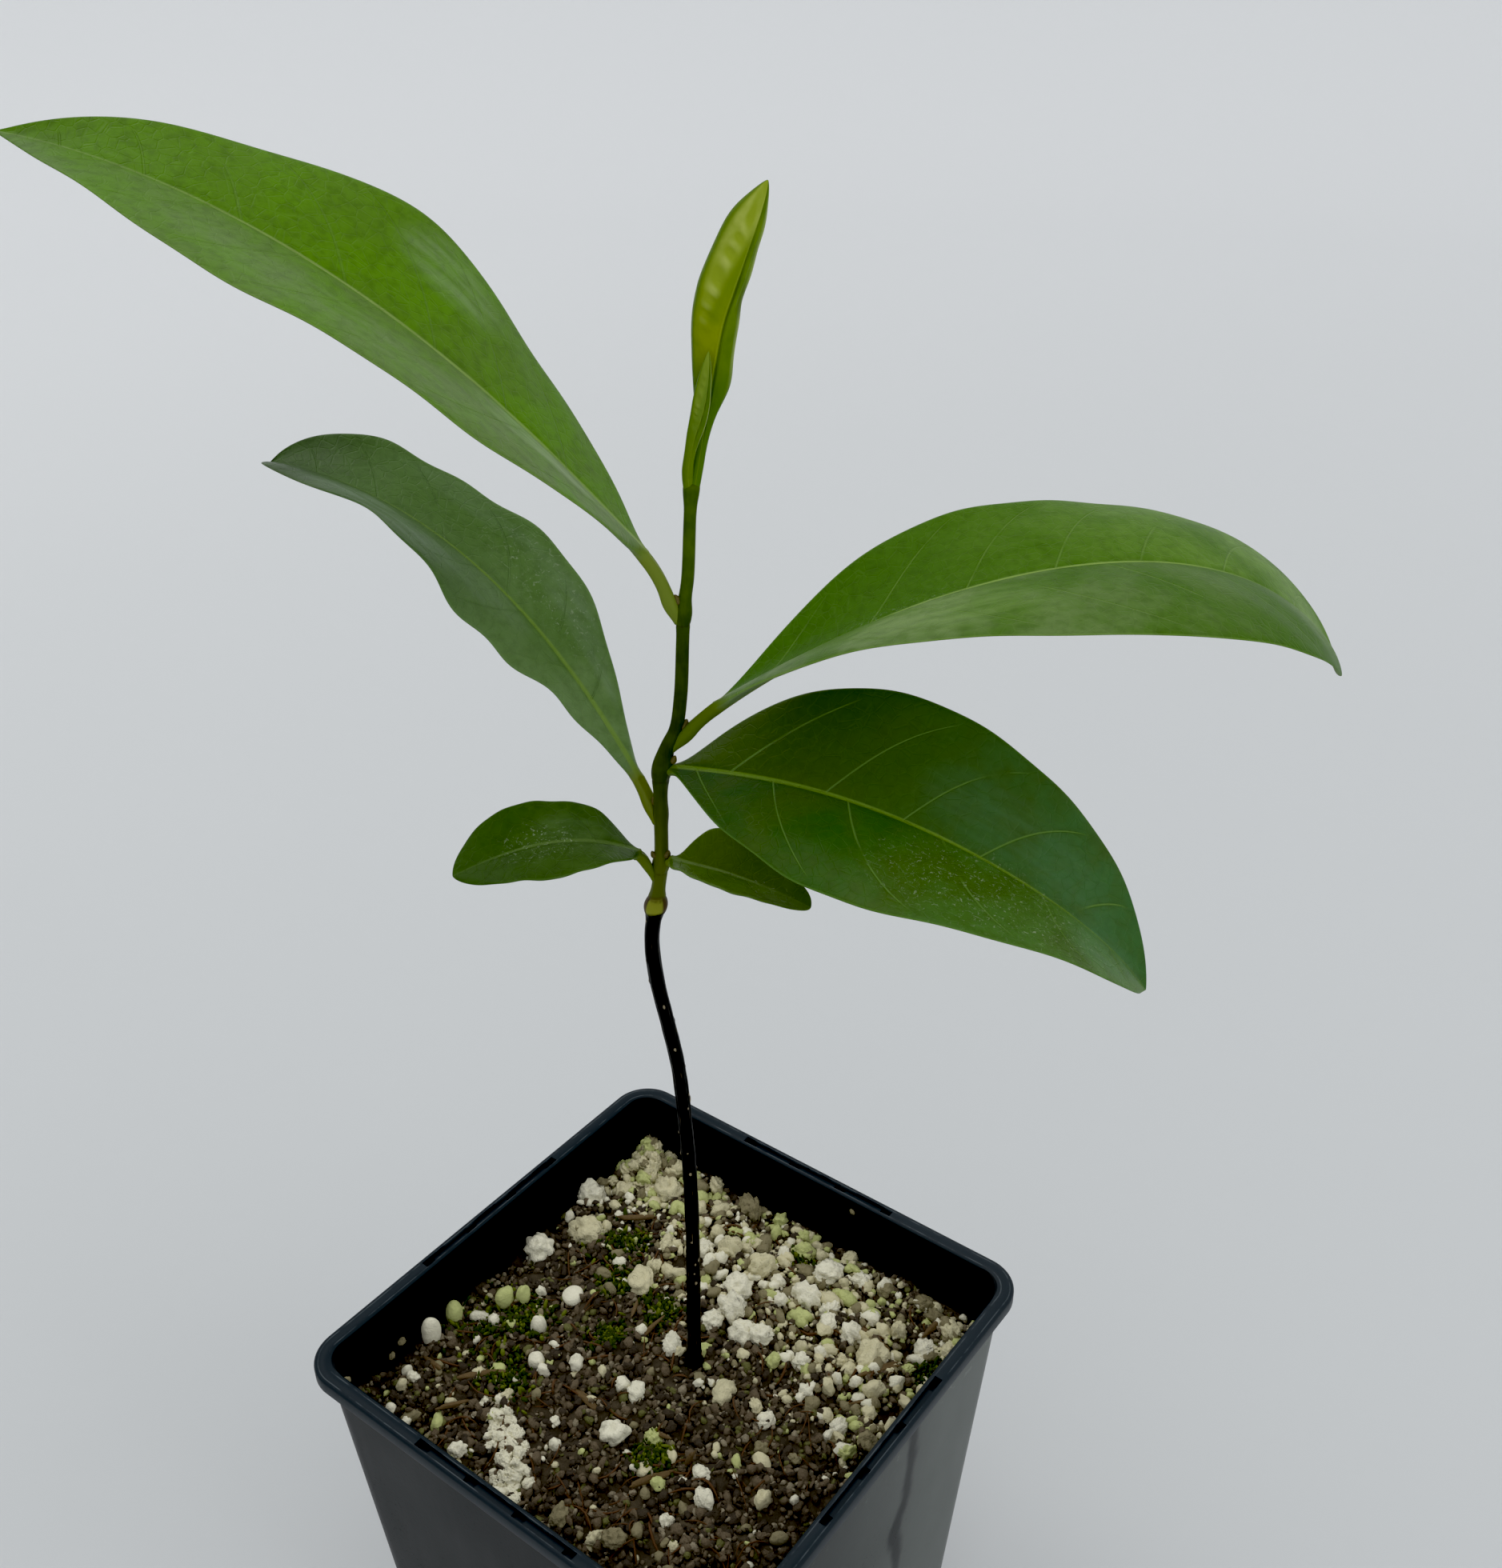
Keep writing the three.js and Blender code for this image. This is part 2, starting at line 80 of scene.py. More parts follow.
camera_data = bpy.data.cameras.new("camera")
camera_data.sensor_width = SENSOR_WIDTH
camera_data.lens = LENS
camera = bpy.data.objects.new("camera", camera_data)
camera.matrix_world = (Matrix.Translation(CAMERA_PLACE)
                       @ camera_turn(CAMERA_AZIMUTH, CAMERA_ELEVATION, CAMERA_ROLL).to_4x4())
scene = bpy.context.scene
scene.collection.objects.link(camera)
scene.camera = camera
print("camera stands", round(CAMERA_PLACE.length, 3), "m from the middle of the pot's foot")

# %% [markdown]
# ## From arrays to meshes
# Nearly every piece here is a tube: a stack of closed rings with equal numbers of points, closed
# by a fan to a pole at each end. Numpy works out all rings at once, and one helper turns the
# grid into a mesh. A closed surface must face outwards, which the sign of its volume tells.

# %% Mesh helpers
def loft_faces(rows, around):
    """Faces of a closed tube: quads between neighbouring rings, and a fan to a pole at each end.
    Points are counted ring by ring, then the first and the last pole."""
    side = np.arange(around)
    after = (side + 1) % around
    row = np.arange(rows - 1)[:, None] * around
    quads = np.stack([row + side, row + after, row + around + after, row + around + side], -1)
    first_pole = np.full(around, rows * around)
    last = (rows - 1) * around
    start = np.stack([first_pole, after, side], -1)
    end = np.stack([first_pole + 1, last + side, last + after], -1)
    return [quads.reshape(-1, 4), np.concatenate([start, end])]


def with_poles(rings):
    """Flattens rings of shape (rows, around, k) and adds the mean of the first and last ring."""
    poles = rings[[0, -1]].mean(axis=1)
    return np.concatenate([rings.reshape(-1, rings.shape[-1]), poles])


def facing_out(points, faces):
    """Turns all faces over where the closed surface has a negative volume."""
    volume = 0
    for group in faces:
        a, b, c = points[group[:, 0]], points[group[:, 1]], points[group[:, 2]]
        volume += np.einsum("ij,ij->", a, np.cross(b, c))
        if group.shape[1] == 4:
            d = points[group[:, 3]]
            volume += np.einsum("ij,ij->", a, np.cross(c, d))
    return faces if volume > 0 else [group[:, ::-1] for group in faces]


def make_piece(name, points, faces, marks=None):
    """An object at the origin from points in millimetres and arrays of three or four corners.
    marks are named numbers or vectors for each point, which its material can read."""
    corners = np.concatenate([group.ravel() for group in faces])
    sizes = np.concatenate([np.full(len(group), group.shape[1]) for group in faces])
    mesh = bpy.data.meshes.new(name)
    mesh.vertices.add(len(points))
    mesh.vertices.foreach_set("co", (points * MM).astype(np.float32).ravel())
    mesh.loops.add(len(corners))
    mesh.loops.foreach_set("vertex_index", corners.astype(np.int32))
    mesh.polygons.add(len(sizes))
    mesh.polygons.foreach_set("loop_start", (np.cumsum(sizes) - sizes).astype(np.int32))
    mesh.polygons.foreach_set("use_smooth", np.ones(len(sizes), bool))
    mesh.update(calc_edges=True)
    for mark, values in (marks or {}).items():
        attribute = mesh.attributes.new(mark, "FLOAT_VECTOR", "POINT")
        attribute.data.foreach_set("vector", values.astype(np.float32).ravel())
    piece = bpy.data.objects.new(name, mesh)
    scene.collection.objects.link(piece)
    return piece


def loft(name, rings, marks=None):
    """A closed tube through rings of shape (rows, around, 3), in millimetres."""
    points = with_poles(rings)
    faces = facing_out(points, loft_faces(*rings.shape[:2]))
    closed_marks = {mark: with_poles(values) for mark, values in (marks or {}).items()}
    return make_piece(name, points, faces, closed_marks)


def triangles(piece):
    """Number of triangles in a piece."""
    return sum(len(polygon.vertices) - 2 for polygon in piece.data.polygons)


def settle(piece, finish, slot, *nodes):
    """Gives a piece its finish, and lets it ride on the plant and stand for nodes of the model.
    The slot is not used."""
    piece.data.materials.append(finish)
    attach(piece, BODY)
    if nodes:
        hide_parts(*nodes)
    print(piece.name, "has", triangles(piece), "triangles")


# %% [markdown]
# ## Materials as sums
# A material in Blender is a graph of nodes. The class below wraps one socket of that graph, so
# that a mask can be written as a sum, such as `1 - vein * 0.5`. The second class adds nodes to
# one material. Colours are written as they look on a screen and changed to light values.

# %% Material helpers
class Wire:
    """One socket of a finish. Arithmetic on it adds Math nodes to the finish."""

    def __init__(self, finish, socket):
        self.finish = finish
        self.socket = socket

    def maths(self, operation, *others):
        """The result of a Math node whose first value is this socket."""
        return self.finish.node("Math", {"operation": operation}, dict(enumerate([self, *others])))

    def __add__(self, other):
        return self.maths("ADD", other)

    def __sub__(self, other):
        return self.maths("SUBTRACT", other)

    def __mul__(self, other):
        return self.maths("MULTIPLY", other)

    def __pow__(self, other):
        return self.maths("POWER", other)

    def __rsub__(self, other):
        return self * -1 + other


class Finish:
    """A material that is being written."""

    def __init__(self, name):
        self.material = bpy.data.materials.new(name)
        self.material.use_nodes = True
        self.tree = self.material.node_tree
        self.tree.nodes.clear()

    def node(self, kind, settings=None, values=None, output=0):
        """Adds a node: its settings first, then the values or links of its sockets."""
        made = self.tree.nodes.new("ShaderNode" + kind)
        for setting, value in (settings or {}).items():
            setattr(made, setting, value)
        for key, value in (values or {}).items():
            if isinstance(value, Wire):
                self.tree.links.new(value.socket, made.inputs[key])
            else:
                made.inputs[key].default_value = value
        return Wire(self, made.outputs[output])

    def place(self):
        """The point of the surface in metres, in the frame of the whole plant."""
        return self.node("TexCoord", output="Object")

    def mark(self, name):
        """A vector that the mesh carries for each point."""
        return self.node("Attribute", {"attribute_name": name}, output="Vector")

    def split(self, vector):
        """The three numbers of a vector."""
        outputs = self.node("SeparateXYZ", values={0: vector}).socket.node.outputs
        return [Wire(self, output) for output in outputs]

    def noise(self, vector, scale, detail, roughness=0.5, distortion=0.0):
        """Cloudy values from about 0.3 to 0.7."""
        return self.node("TexNoise", values={"Vector": vector, "Scale": scale, "Detail": detail,
                                             "Roughness": roughness, "Distortion": distortion})

    def cells(self, vector, scale, feature="F1"):
        """Distance to the nearest cell centre, or to the nearest wall between cells."""
        return self.node("TexVoronoi", {"feature": feature}, {"Vector": vector, "Scale": scale},
                         output="Distance")

    def stretch(self, vector, factors):
        """A vector whose three numbers are multiplied by three factors."""
        return self.node("VectorMath", {"operation": "MULTIPLY"}, {0: vector, 1: factors})

    def step(self, value, low, high):
        """0 up to low, 1 from high on, smooth between."""
        return self.node("MapRange", {"interpolation_type": "SMOOTHSTEP"},
                         {"Value": value, "From Min": low, "From Max": high})

    def step_mm(self, value, low, high):
        """The same step for a value in metres, with its bounds in millimetres."""
        return self.step(value, low * MM, high * MM)

    def mix(self, share, first, second):
        """First colour at share 0, second at share 1."""
        return self.node("Mix", {"data_type": "RGBA"}, {0: share, 6: first, 7: second}, output=2)

    def bump(self, height, distance, strength=1.0):
        """A normal for relief whose height is in units of distance, in metres."""
        return self.node("Bump", values={"Strength": strength, "Distance": distance,
                                         "Height": height})

    def skin(self, tone, roughness, gloss, normal=None):
        """Ends the material in a Principled shader. gloss sets how strongly its surface
        mirrors."""
        values = {"Base Color": tone, "Roughness": roughness, "Specular IOR Level": gloss}
        if normal is not None:
            values["Normal"] = normal
        shader = self.node("BsdfPrincipled", values=values)
        output = self.tree.nodes.new("ShaderNodeOutputMaterial")
        self.tree.links.new(shader.socket, output.inputs["Surface"])
        return self.material


def light_value(channel):
    """Share of light behind a screen value from 0 to 255: a straight line near black, then a
    power, as screens code it."""
    share = channel / 255
    return share / 12.92 if share <= 0.04045 else ((share + 0.055) / 1.055) ** 2.4


def colour(red, green, blue):
    """A colour for a socket from its screen values."""
    return (light_value(red), light_value(green), light_value(blue), 1)


# %% [markdown]
# ## Studio
# The plant stands on a pale floor that curves up into a low bowl, so that every view has the same
# calm background. The light is soft, as by a window on a grey day: a bright sky, one large
# panel high on the left for form, and one on the right that shines on the pot's wall. Colours
# are shown as they are, without a film curve.

# %% Floor bowl
# In millimetres: radius of the first ring and of the flat part, then reach and height of the rise
FIRST_RING = 20
FLOOR_FLAT = 1400
BOWL_REACH = 1400
BOWL_HEIGHT = 1600


def floor_bowl(rows=24, around=96):
    """Flat out to FLOOR_FLAT, then rising with the square of the distance. The profile is
    carried round a full turn."""
    flat = np.linspace(FIRST_RING, FLOOR_FLAT, 5)
    climb = np.linspace(0, 1, rows)[1:]
    reach = np.concatenate([flat, FLOOR_FLAT + BOWL_REACH * climb])[:, None]
    height = np.concatenate([flat * 0, BOWL_HEIGHT * climb ** 2])[:, None]
    angle = np.linspace(0, 2 * np.pi, around, endpoint=False)[None, :]
    rings = np.stack([reach * np.cos(angle), reach * np.sin(angle), height + 0 * angle], -1)
    quads, fans = loft_faces(*rings.shape[:2])
    return make_piece("floor", with_poles(rings)[:-1], [quads, fans[:around]])


def paper_finish():
    """Pale grey with faint clouds, lighter with the distance from the plant."""
    paint = Finish("pale_paper")
    place = paint.place()
    clouds = paint.noise(place, 2.2, 3)
    distance = paint.node("VectorMath", {"operation": "LENGTH"}, {0: place}, "Value")
    near = paint.mix(clouds, colour(212, 215, 216), colour(216, 219, 220))
    tone = paint.mix(paint.step(distance, 0.1, 1.8), near, colour(240, 242, 243))
    return paint.skin(tone, 0.9, 0.2)


floor = floor_bowl()
floor.data.materials.append(paper_finish())

# %% Lights
SKY_COLOUR = (0.965, 0.977, 1.0, 1)
SKY_STRENGTH = 0.66
# Light up to this level is shown as black
BLACK_LEVEL = 0.012
# Height in metres of the plant's middle, which the lamps look at
AIM_HEIGHT = 0.17
# Per lamp: heading and rise in degrees, distance and size in metres, power and colour
LAMPS = {
    "panel_high_left": (175, 62, 1.7, 1.3, 7, (1, 0.99, 0.97)),
    "panel_right": (8, 28, 1.5, 0.9, 2.5, (1, 1, 1)),
}


def soft_panel(name, heading, rise, distance, size, power, tint):
    """A square lamp that looks at the middle of the plant from a heading and rise."""
    data = bpy.data.lights.new(name, "AREA")
    data.size = size
    data.energy = power
    data.color = tint
    panel = bpy.data.objects.new(name, data)
    out = Vector((math.cos(math.radians(heading)) * math.cos(math.radians(rise)),
                  math.sin(math.radians(heading)) * math.cos(math.radians(rise)),
                  math.sin(math.radians(rise))))
    panel.location = Vector((0, 0, AIM_HEIGHT)) + out * distance
    panel.rotation_euler = out.to_track_quat("Z", "Y").to_euler()
    scene.collection.objects.link(panel)


for name, lamp in LAMPS.items():
    soft_panel(name, *lamp)
sky = bpy.data.worlds.new("sky")
sky.use_nodes = True
background = sky.node_tree.nodes["Background"]
background.inputs["Color"].default_value = SKY_COLOUR
background.inputs["Strength"].default_value = SKY_STRENGTH
scene.world = sky
scene.view_settings.view_transform = "Standard"
scene.view_settings.use_curve_mapping = True
scene.view_settings.curve_mapping.black_level = (BLACK_LEVEL,) * 3

# %% [markdown]
# ## Pot
# The pot is moulded in one thin shell: a rounded square that narrows towards its foot, with a
# flat rim turned outwards. It is a profile carried round a rounded square, from the middle of
# the underside, up the outside, over the rim, down the inside and back to the middle. The
# channel on the rim, its small pockets and the drain holes are then cut out of the closed shell.

# %% Rounded square
# Sizes of the pot in millimetres. An ease is the radius of a softened edge.
POT_HEIGHT = 100
RIM_HALF = 45
RIM_CORNER = 7.2
RIM_WIDTH = 3
RIM_DEPTH = 2.6
RIM_EASE = 0.4
RIM_UNDER_EASE = 0.25
WALL_HALF_TOP = 43.2
WALL_HALF_BASE = 37
WALL_CORNER = 7
WALL_THICKNESS = 1
FLOOR_THICKNESS = 1.2
FOOT_ROUNDING = 1.5
# The wall's growth between the underside and the top of the foot's rounding
FOOT_SPREAD = 0.1


def rounded_square(half, corner, corner_steps=14, side_steps=12):
    """Rings of shape (rows, around, 2). A quarter is a corner arc about the point that lies
    inset from the middle, then a straight side, and the other three are turned from it."""
    half = np.asarray(half, float).reshape(-1, 1)
    corner = np.asarray(corner, float).reshape(-1, 1)
    angle = np.radians(np.linspace(0, 90, corner_steps + 1))
    share = np.linspace(0, 1, side_steps + 1)[1:-1]
    inset = half - corner
    x = np.concatenate([inset + corner * np.cos(angle), inset * (1 - 2 * share)], 1)
    y = np.concatenate([inset + corner * np.sin(angle), half + 0 * share], 1)
    quarters = [(x, y), (-y, x), (-x, -y), (y, -x)]
    return np.stack([np.concatenate([q[0] for q in quarters], 1),
                     np.concatenate([q[1] for q in quarters], 1)], -1)


def wall_half(height):
    """Half size of the pot's outside at a height, growing evenly from the foot to the rim."""
    return WALL_HALF_BASE + (WALL_HALF_TOP - WALL_HALF_BASE) * height / (POT_HEIGHT - RIM_DEPTH)


def square_tube(name, profile):
    """A closed piece from profile rows of half size, corner radius and height."""
    outline = rounded_square(profile[:, 0], profile[:, 1])
    height = np.broadcast_to(profile[:, 2][:, None, None], outline.shape[:2] + (1,))
    return loft(name, np.concatenate([outline, height], -1))


# %% Pot profile
def quarter_bend(half, corner, height, radius, start, end, steps=5):
    """Profile rows round a rounded edge: a circle of that radius about a point of the profile,
    from a start to an end angle in degrees."""
    angle = np.radians(np.linspace(start, end, steps))
    out = radius * np.cos(angle)
    return np.stack([half + out, corner + out, height + radius * np.sin(angle)], 1)


def straight(half_from, half_to, corner_from, corner_to, height_from, height_to, steps):
    """Profile rows along a straight part, without its ends."""
    share = np.linspace(0, 1, steps + 2)[1:-1]
    return np.stack([half_from + (half_to - half_from) * share,
                     corner_from + (corner_to - corner_from) * share,
                     height_from + (height_to - height_from) * share], 1)


def pot_profile():
    """Half size, corner radius and height from the underside round to the inner floor."""
    rim_foot = POT_HEIGHT - RIM_DEPTH
    inner_corner = WALL_CORNER - WALL_THICKNESS
    foot_half = WALL_HALF_BASE - FOOT_ROUNDING + FOOT_SPREAD
    rim_top = POT_HEIGHT - RIM_EASE
    inner_rim = RIM_HALF - RIM_WIDTH
    wall_inside = wall_half(FLOOR_THICKNESS) - WALL_THICKNESS
    return np.concatenate([
        quarter_bend(foot_half, WALL_CORNER - FOOT_ROUNDING, FOOT_ROUNDING, FOOT_ROUNDING, -90, 0),
        straight(wall_half(FOOT_ROUNDING), WALL_HALF_TOP, WALL_CORNER, WALL_CORNER,
                 FOOT_ROUNDING, rim_foot, steps=16),
        [[WALL_HALF_TOP, WALL_CORNER, rim_foot]],
        quarter_bend(RIM_HALF - RIM_UNDER_EASE, RIM_CORNER - RIM_UNDER_EASE,
                     rim_foot + RIM_UNDER_EASE, RIM_UNDER_EASE, -90, 0, steps=4),
        quarter_bend(RIM_HALF - RIM_EASE, RIM_CORNER - RIM_EASE, rim_top, RIM_EASE, 0, 90),
        quarter_bend(inner_rim + RIM_EASE, inner_corner + RIM_EASE, rim_top, RIM_EASE, 90, 180),
        straight(inner_rim, wall_inside, inner_corner, inner_corner,
                 rim_top, FLOOR_THICKNESS, steps=14),
        [[wall_inside, inner_corner, FLOOR_THICKNESS]],
    ])


pot = square_tube("pot_shell", pot_profile())
print("pot shell has", triangles(pot), "triangles before it is cut")

# %% Cut the rim channel, its pockets and the drain holes
# Millimetres along, across and down the rim, and from pocket to pocket
CHANNEL_LENGTH = 33
CHANNEL_WIDTH = 1.4
CHANNEL_DEPTH = 0.8
POCKET_SIZE = 2.4
POCKET_DEPTH = 1.4
POCKET_PITCH = 10.5
POCKETS_PER_SIDE = 4
# A pocket is this much wider than the channel, so that their cutters share no face
POCKET_PLAY = 0.02
# Radius of a drain hole, and how far the holes at the corners and the sides lie from the middle
DRAIN_RADIUS = 4
DRAIN_CORNER_OFFSET = 24
DRAIN_SIDE_OFFSET = 27
# Edges that turn by more degrees than this stay sharp
SHARP_ANGLE = 38


def turned(rings, quarter):
    """Rings turned by a number of quarter turns about Z."""
    x, y, z = np.moveaxis(rings, -1, 0)
    for _ in range(quarter):
        x, y = -y, x
    return np.stack([x, y, z], -1)


def block_rings(along, width, depth, place):
    """Two rings of four corners: a block of that size, half above the top of the rim."""
    middle = RIM_HALF - RIM_WIDTH / 2
    x = np.array([1, 1, -1, -1]) * along / 2 + place
    y = np.array([-1, 1, 1, -1]) * width / 2 + middle
    rows = [np.stack([x, y, np.full(4, POT_HEIGHT + rise * depth)], -1) for rise in (-1, 1)]
    return np.stack(rows)


def drum_rings(x, y, around=40):
    """Two rings of a circle of the drain hole's radius, through the pot's floor."""
    angle = np.linspace(0, 2 * np.pi, around, endpoint=False)
    circle = np.stack([x + DRAIN_RADIUS * np.cos(angle), y + DRAIN_RADIUS * np.sin(angle)], -1)
    return np.stack([np.column_stack([circle, np.full(around, level * FLOOR_THICKNESS)])
                     for level in (-2, 3)])


def joined_lofts(name, tubes):
    """One object from several closed tubes."""
    points, faces, count = [], [], 0
    for rings in tubes:
        own = with_poles(rings)
        own_faces = facing_out(own - own.mean(0), loft_faces(*rings.shape[:2]))
        faces += [group + count for group in own_faces]
        points.append(own)
        count += len(own)
    return make_piece(name, np.concatenate(points), faces)


def cut_away(piece, cutter):
    """Takes the cutter's shape out of a piece and removes the cutter."""
    cut = piece.modifiers.new("cut", "BOOLEAN")
    cut.operation = "DIFFERENCE"
    cut.solver = "EXACT"
    cut.object = cutter
    depsgraph = bpy.context.evaluated_depsgraph_get()
    finished = bpy.data.meshes.new_from_object(piece.evaluated_get(depsgraph))
    piece.modifiers.clear()
    piece.data = finished
    bpy.data.objects.remove(cutter)


quarters = range(4)
channels = [turned(block_rings(CHANNEL_LENGTH, CHANNEL_WIDTH, CHANNEL_DEPTH, 0), q)
            for q in quarters]
holes = [turned(drum_rings(x, y), q) for q in quarters
         for x, y in ((DRAIN_CORNER_OFFSET, DRAIN_CORNER_OFFSET), (DRAIN_SIDE_OFFSET, 0))]
pocket_places = (np.arange(POCKETS_PER_SIDE) - (POCKETS_PER_SIDE - 1) / 2) * POCKET_PITCH
pockets = [turned(block_rings(POCKET_SIZE, CHANNEL_WIDTH + POCKET_PLAY, POCKET_DEPTH, place), q)
           for q in quarters for place in pocket_places]
cut_away(pot, joined_lofts("first_cutter", channels + holes))
cut_away(pot, joined_lofts("second_cutter", pockets))
pot.data.set_sharp_from_angle(angle=math.radians(SHARP_ANGLE))
print("pot shell has", triangles(pot), "triangles after it is cut")

# %% [markdown]
# ## Black plastic
# The pot's plastic is black with a cool tint and a satin gloss. Its roughness drifts a little,
# dust and dried water leave paler streaks and spots on the walls, and handling leaves dust on the
# rim. Light is painted on as well: a pale reflection with a dark streak on the +x wall, shade
# under the rim, a little light towards the front left corner, a greyer +x side of the rim, and a
# highlight along the channel's edges.

# %% Pot finish
# How far the wall goes out with each millimetre of height
WALL_SLOPE = (WALL_HALF_TOP - WALL_HALF_BASE) / (POT_HEIGHT - RIM_DEPTH)
# Heights in millimetres over which the painted shade under the rim, the dried spots, the rim's
# own finish and its raised crown set in
PAINTED_SHADE_UNDER_RIM = (88.5, 96.5)
SPOTTED = (86, 95)
RIM_FINISH = (96.8, 97.4)
RIM_CROWN = (99, 99.5)
# The dark streak in the painted reflection on the +x wall in millimetres: its place along y, how
# far it sways and drifts aside, and its soft edge. The pace of its sways is in radians for a
# metre of height.
STREAK_Y = 10.6
STREAK_SWAY = 0.4
STREAK_DRIFT = 13
STREAK_EDGE = (0.6, 2.8)
STREAK_PACE = 420
# Where the channel's edges lie across the rim, from 0 in its middle to 1 at its outer edge
CHANNEL_EDGE = 0.52


def rim_share(x, y):
    """-1 at the rim's inner edge, 0 in its middle and 1 at its outer edge: the distance from a
    smaller square, about whose corners the rim's corners turn."""
    flat = (RIM_HALF - RIM_CORNER) * MM
    past_x, past_y = [(way.maths("ABSOLUTE") - flat).maths("MAXIMUM", 0.0) for way in (x, y)]
    reach = (past_x * past_x + past_y * past_y) ** 0.5
    middle = (RIM_CORNER - RIM_WIDTH / 2) * MM
    return (reach - middle) * (2 / (RIM_WIDTH * MM))


def painted_wall_reflection(paint, x, y, z, streaks, clouds):
    """Share of a painted reflection on the outside of the +x wall, which also holds the dried water
    spots. It thickens away from the front corner, and one wavy streak stays dark."""
    outside = paint.step_mm(x - z * WALL_SLOPE, WALL_HALF_BASE - 0.7, WALL_HALF_BASE - 0.3)
    spread = paint.step_mm(y, -30, 36) * 0.8 + 0.2
    waves = ((z * STREAK_PACE).maths("SINE") * (STREAK_SWAY * MM)
             + (clouds - 0.5) * (STREAK_DRIFT * MM))
    wander = (y - STREAK_Y * MM + waves).maths("ABSOLUTE")
    dark_streak = (1 - paint.step_mm(wander, *STREAK_EDGE)) * paint.step_mm(z, 20, 60)
    return outside * spread * (streaks * 0.5 + 0.65) * (1 - dark_streak * 0.92)


def wall_tone(paint, place, streaks, clouds, dust):
    """Cool black with a film of dust, a touch of painted light towards the front left corner,
    painted shade under the rim, and a painted reflection that holds pale dried water spots.
    """
    x, y, z = paint.split(place)
    film = paint.step(streaks, 0.5, 0.72) * 0.35 + dust * 0.3
    # Painted light: the front left wall a little lighter towards its left corner
    painted_light_front_left = paint.step_mm(x * -1, 0, 45) * paint.step_mm(y * -1, 30, 35)
    tone = paint.mix(film + painted_light_front_left * 0.03, colour(8, 11, 13), colour(36, 40, 41))
    # Painted shade: the wall darker just under the overhanging rim
    tone = paint.mix(paint.step_mm(z, *PAINTED_SHADE_UNDER_RIM) * 0.6, tone, colour(5, 8, 10))
    # Painted reflection: a pale haze on the +x wall with a dark wavy streak in it, where real dried
    # water spots lie
    painted_reflection = painted_wall_reflection(paint, x, y, z, streaks, clouds)
    tone = paint.mix(painted_reflection, tone, colour(96, 101, 97))
    spots = paint.step(paint.noise(place, 520, 3, 0.7), 0.6, 0.68) * paint.step_mm(z, *SPOTTED)
    return paint.mix(spots * painted_reflection * 0.8, tone, colour(150, 156, 148))


def rim_tone(paint, x, y, across, streaks, clouds):
    """Greyer towards the +x side as painted light, with clouds of dust, and a painted highlight
    along the channel's edges.
    """
    # Painted light: the rim greyer towards the +x side, mixed with clouds of dust
    painted_light_and_dust = paint.step_mm(x + y * 0.2, -30, 45) * 0.6 + clouds * 0.4
    tone = paint.mix(painted_light_and_dust, colour(25, 35, 41), colour(44, 51, 56))
    from_edge = (across.maths("ABSOLUTE") - CHANNEL_EDGE).maths("ABSOLUTE")
    # Painted highlight: a broken pale line along each of the channel's edges
    painted_edge_highlight = (1 - paint.step(from_edge, 0.02, 0.1)) * paint.step(streaks, 0.42, 0.6)
    return paint.mix(painted_edge_highlight * 0.45, tone, colour(104, 112, 116))


def pot_finish():
    """The wall's tone and the rim's, with a roughness that drifts, and a fine grain."""
    paint = Finish("satin_black_plastic")
    place = paint.place()
    x, y, z = paint.split(place)
    clouds = paint.noise(place, 38, 4)
    streaks = paint.noise(paint.stretch(place, (1, 1, 0.06)), 190, 4, 0.6)
    grains = paint.noise(place, 1500, 2, 0.7)
    dust = paint.step(grains, 0.62, 0.74) * paint.step(clouds, 0.42, 0.62)
    across = rim_share(x, y)
    on_rim = paint.step_mm(z, *RIM_FINISH) * paint.step(across, -1.02, -0.9)
    tone = paint.mix(on_rim, wall_tone(paint, place, streaks, clouds, dust),
                     rim_tone(paint, x, y, across, streaks, clouds))
    rough = clouds * 0.16 + streaks * 0.1 + 0.24 + dust * 0.2
    crown = (across * across * -1 + 1) * paint.step_mm(z, *RIM_CROWN)
    relief = grains * 0.03 + clouds * 0.12 + crown
    return paint.skin(tone, rough, 0.125, paint.bump(relief, 0.0005, 0.7))


pot.data.materials.clear()
settle(pot, pot_finish(), "pot_plastic", "pot")

# %% [markdown]
# ## Potting mix
# The mix fills the pot to about a centimetre below the rim and rises in a low mound to the stem.
# Its body is one closed surface: rings that shrink from the wall to a small pad at the stem.
# Thousands of separate crumbs and perlite grains then lie on it.

# %% Level of the mix
# In millimetres: the level at the wall, the rise of the mound and of the lumps, and the stem's foot
MIX_EDGE_LEVEL = 87.4
MIX_MOUND = 3
MIX_LUMP = 0.55
FOOT_X = 3.9
FOOT_Y = 1
FOOT_LEVEL = 90.8
# The room that the model's solids leave between each other
GAP = 0.3
EDGE_HALF = wall_half(MIX_EDGE_LEVEL) - WALL_THICKNESS - 2 * GAP
MIX_CORNER = WALL_CORNER - WALL_THICKNESS - GAP
# Size of the pad at the stem, as a share of the mix's top
PAD_SHARE = 0.02


def wall_share(x, y):
    """0 at the stem and 1 at the wall, along the line from the stem through the point."""
    to_side_x = (x - FOOT_X) / (EDGE_HALF - np.sign(x - FOOT_X) * FOOT_X)
    to_side_y = (y - FOOT_Y) / (EDGE_HALF - np.sign(y - FOOT_Y) * FOOT_Y)
    return np.clip(np.maximum(abs(to_side_x), abs(to_side_y)), 0, 1)


def mix_level(x, y):
    """Edge level, plus a mound that falls with the square of the share, plus waves as lumps."""
    share = wall_share(x, y)
    lumps = (np.sin(0.52 * x + 0.21 * y) + np.sin(0.47 * y - 0.26 * x + 1.3)
             + 0.7 * np.sin(0.83 * x - 0.61 * y + 0.4))
    mound = MIX_MOUND * (1 - share ** 2)
    return MIX_EDGE_LEVEL + mound + MIX_LUMP * lumps * np.minimum(1, 3 * share)


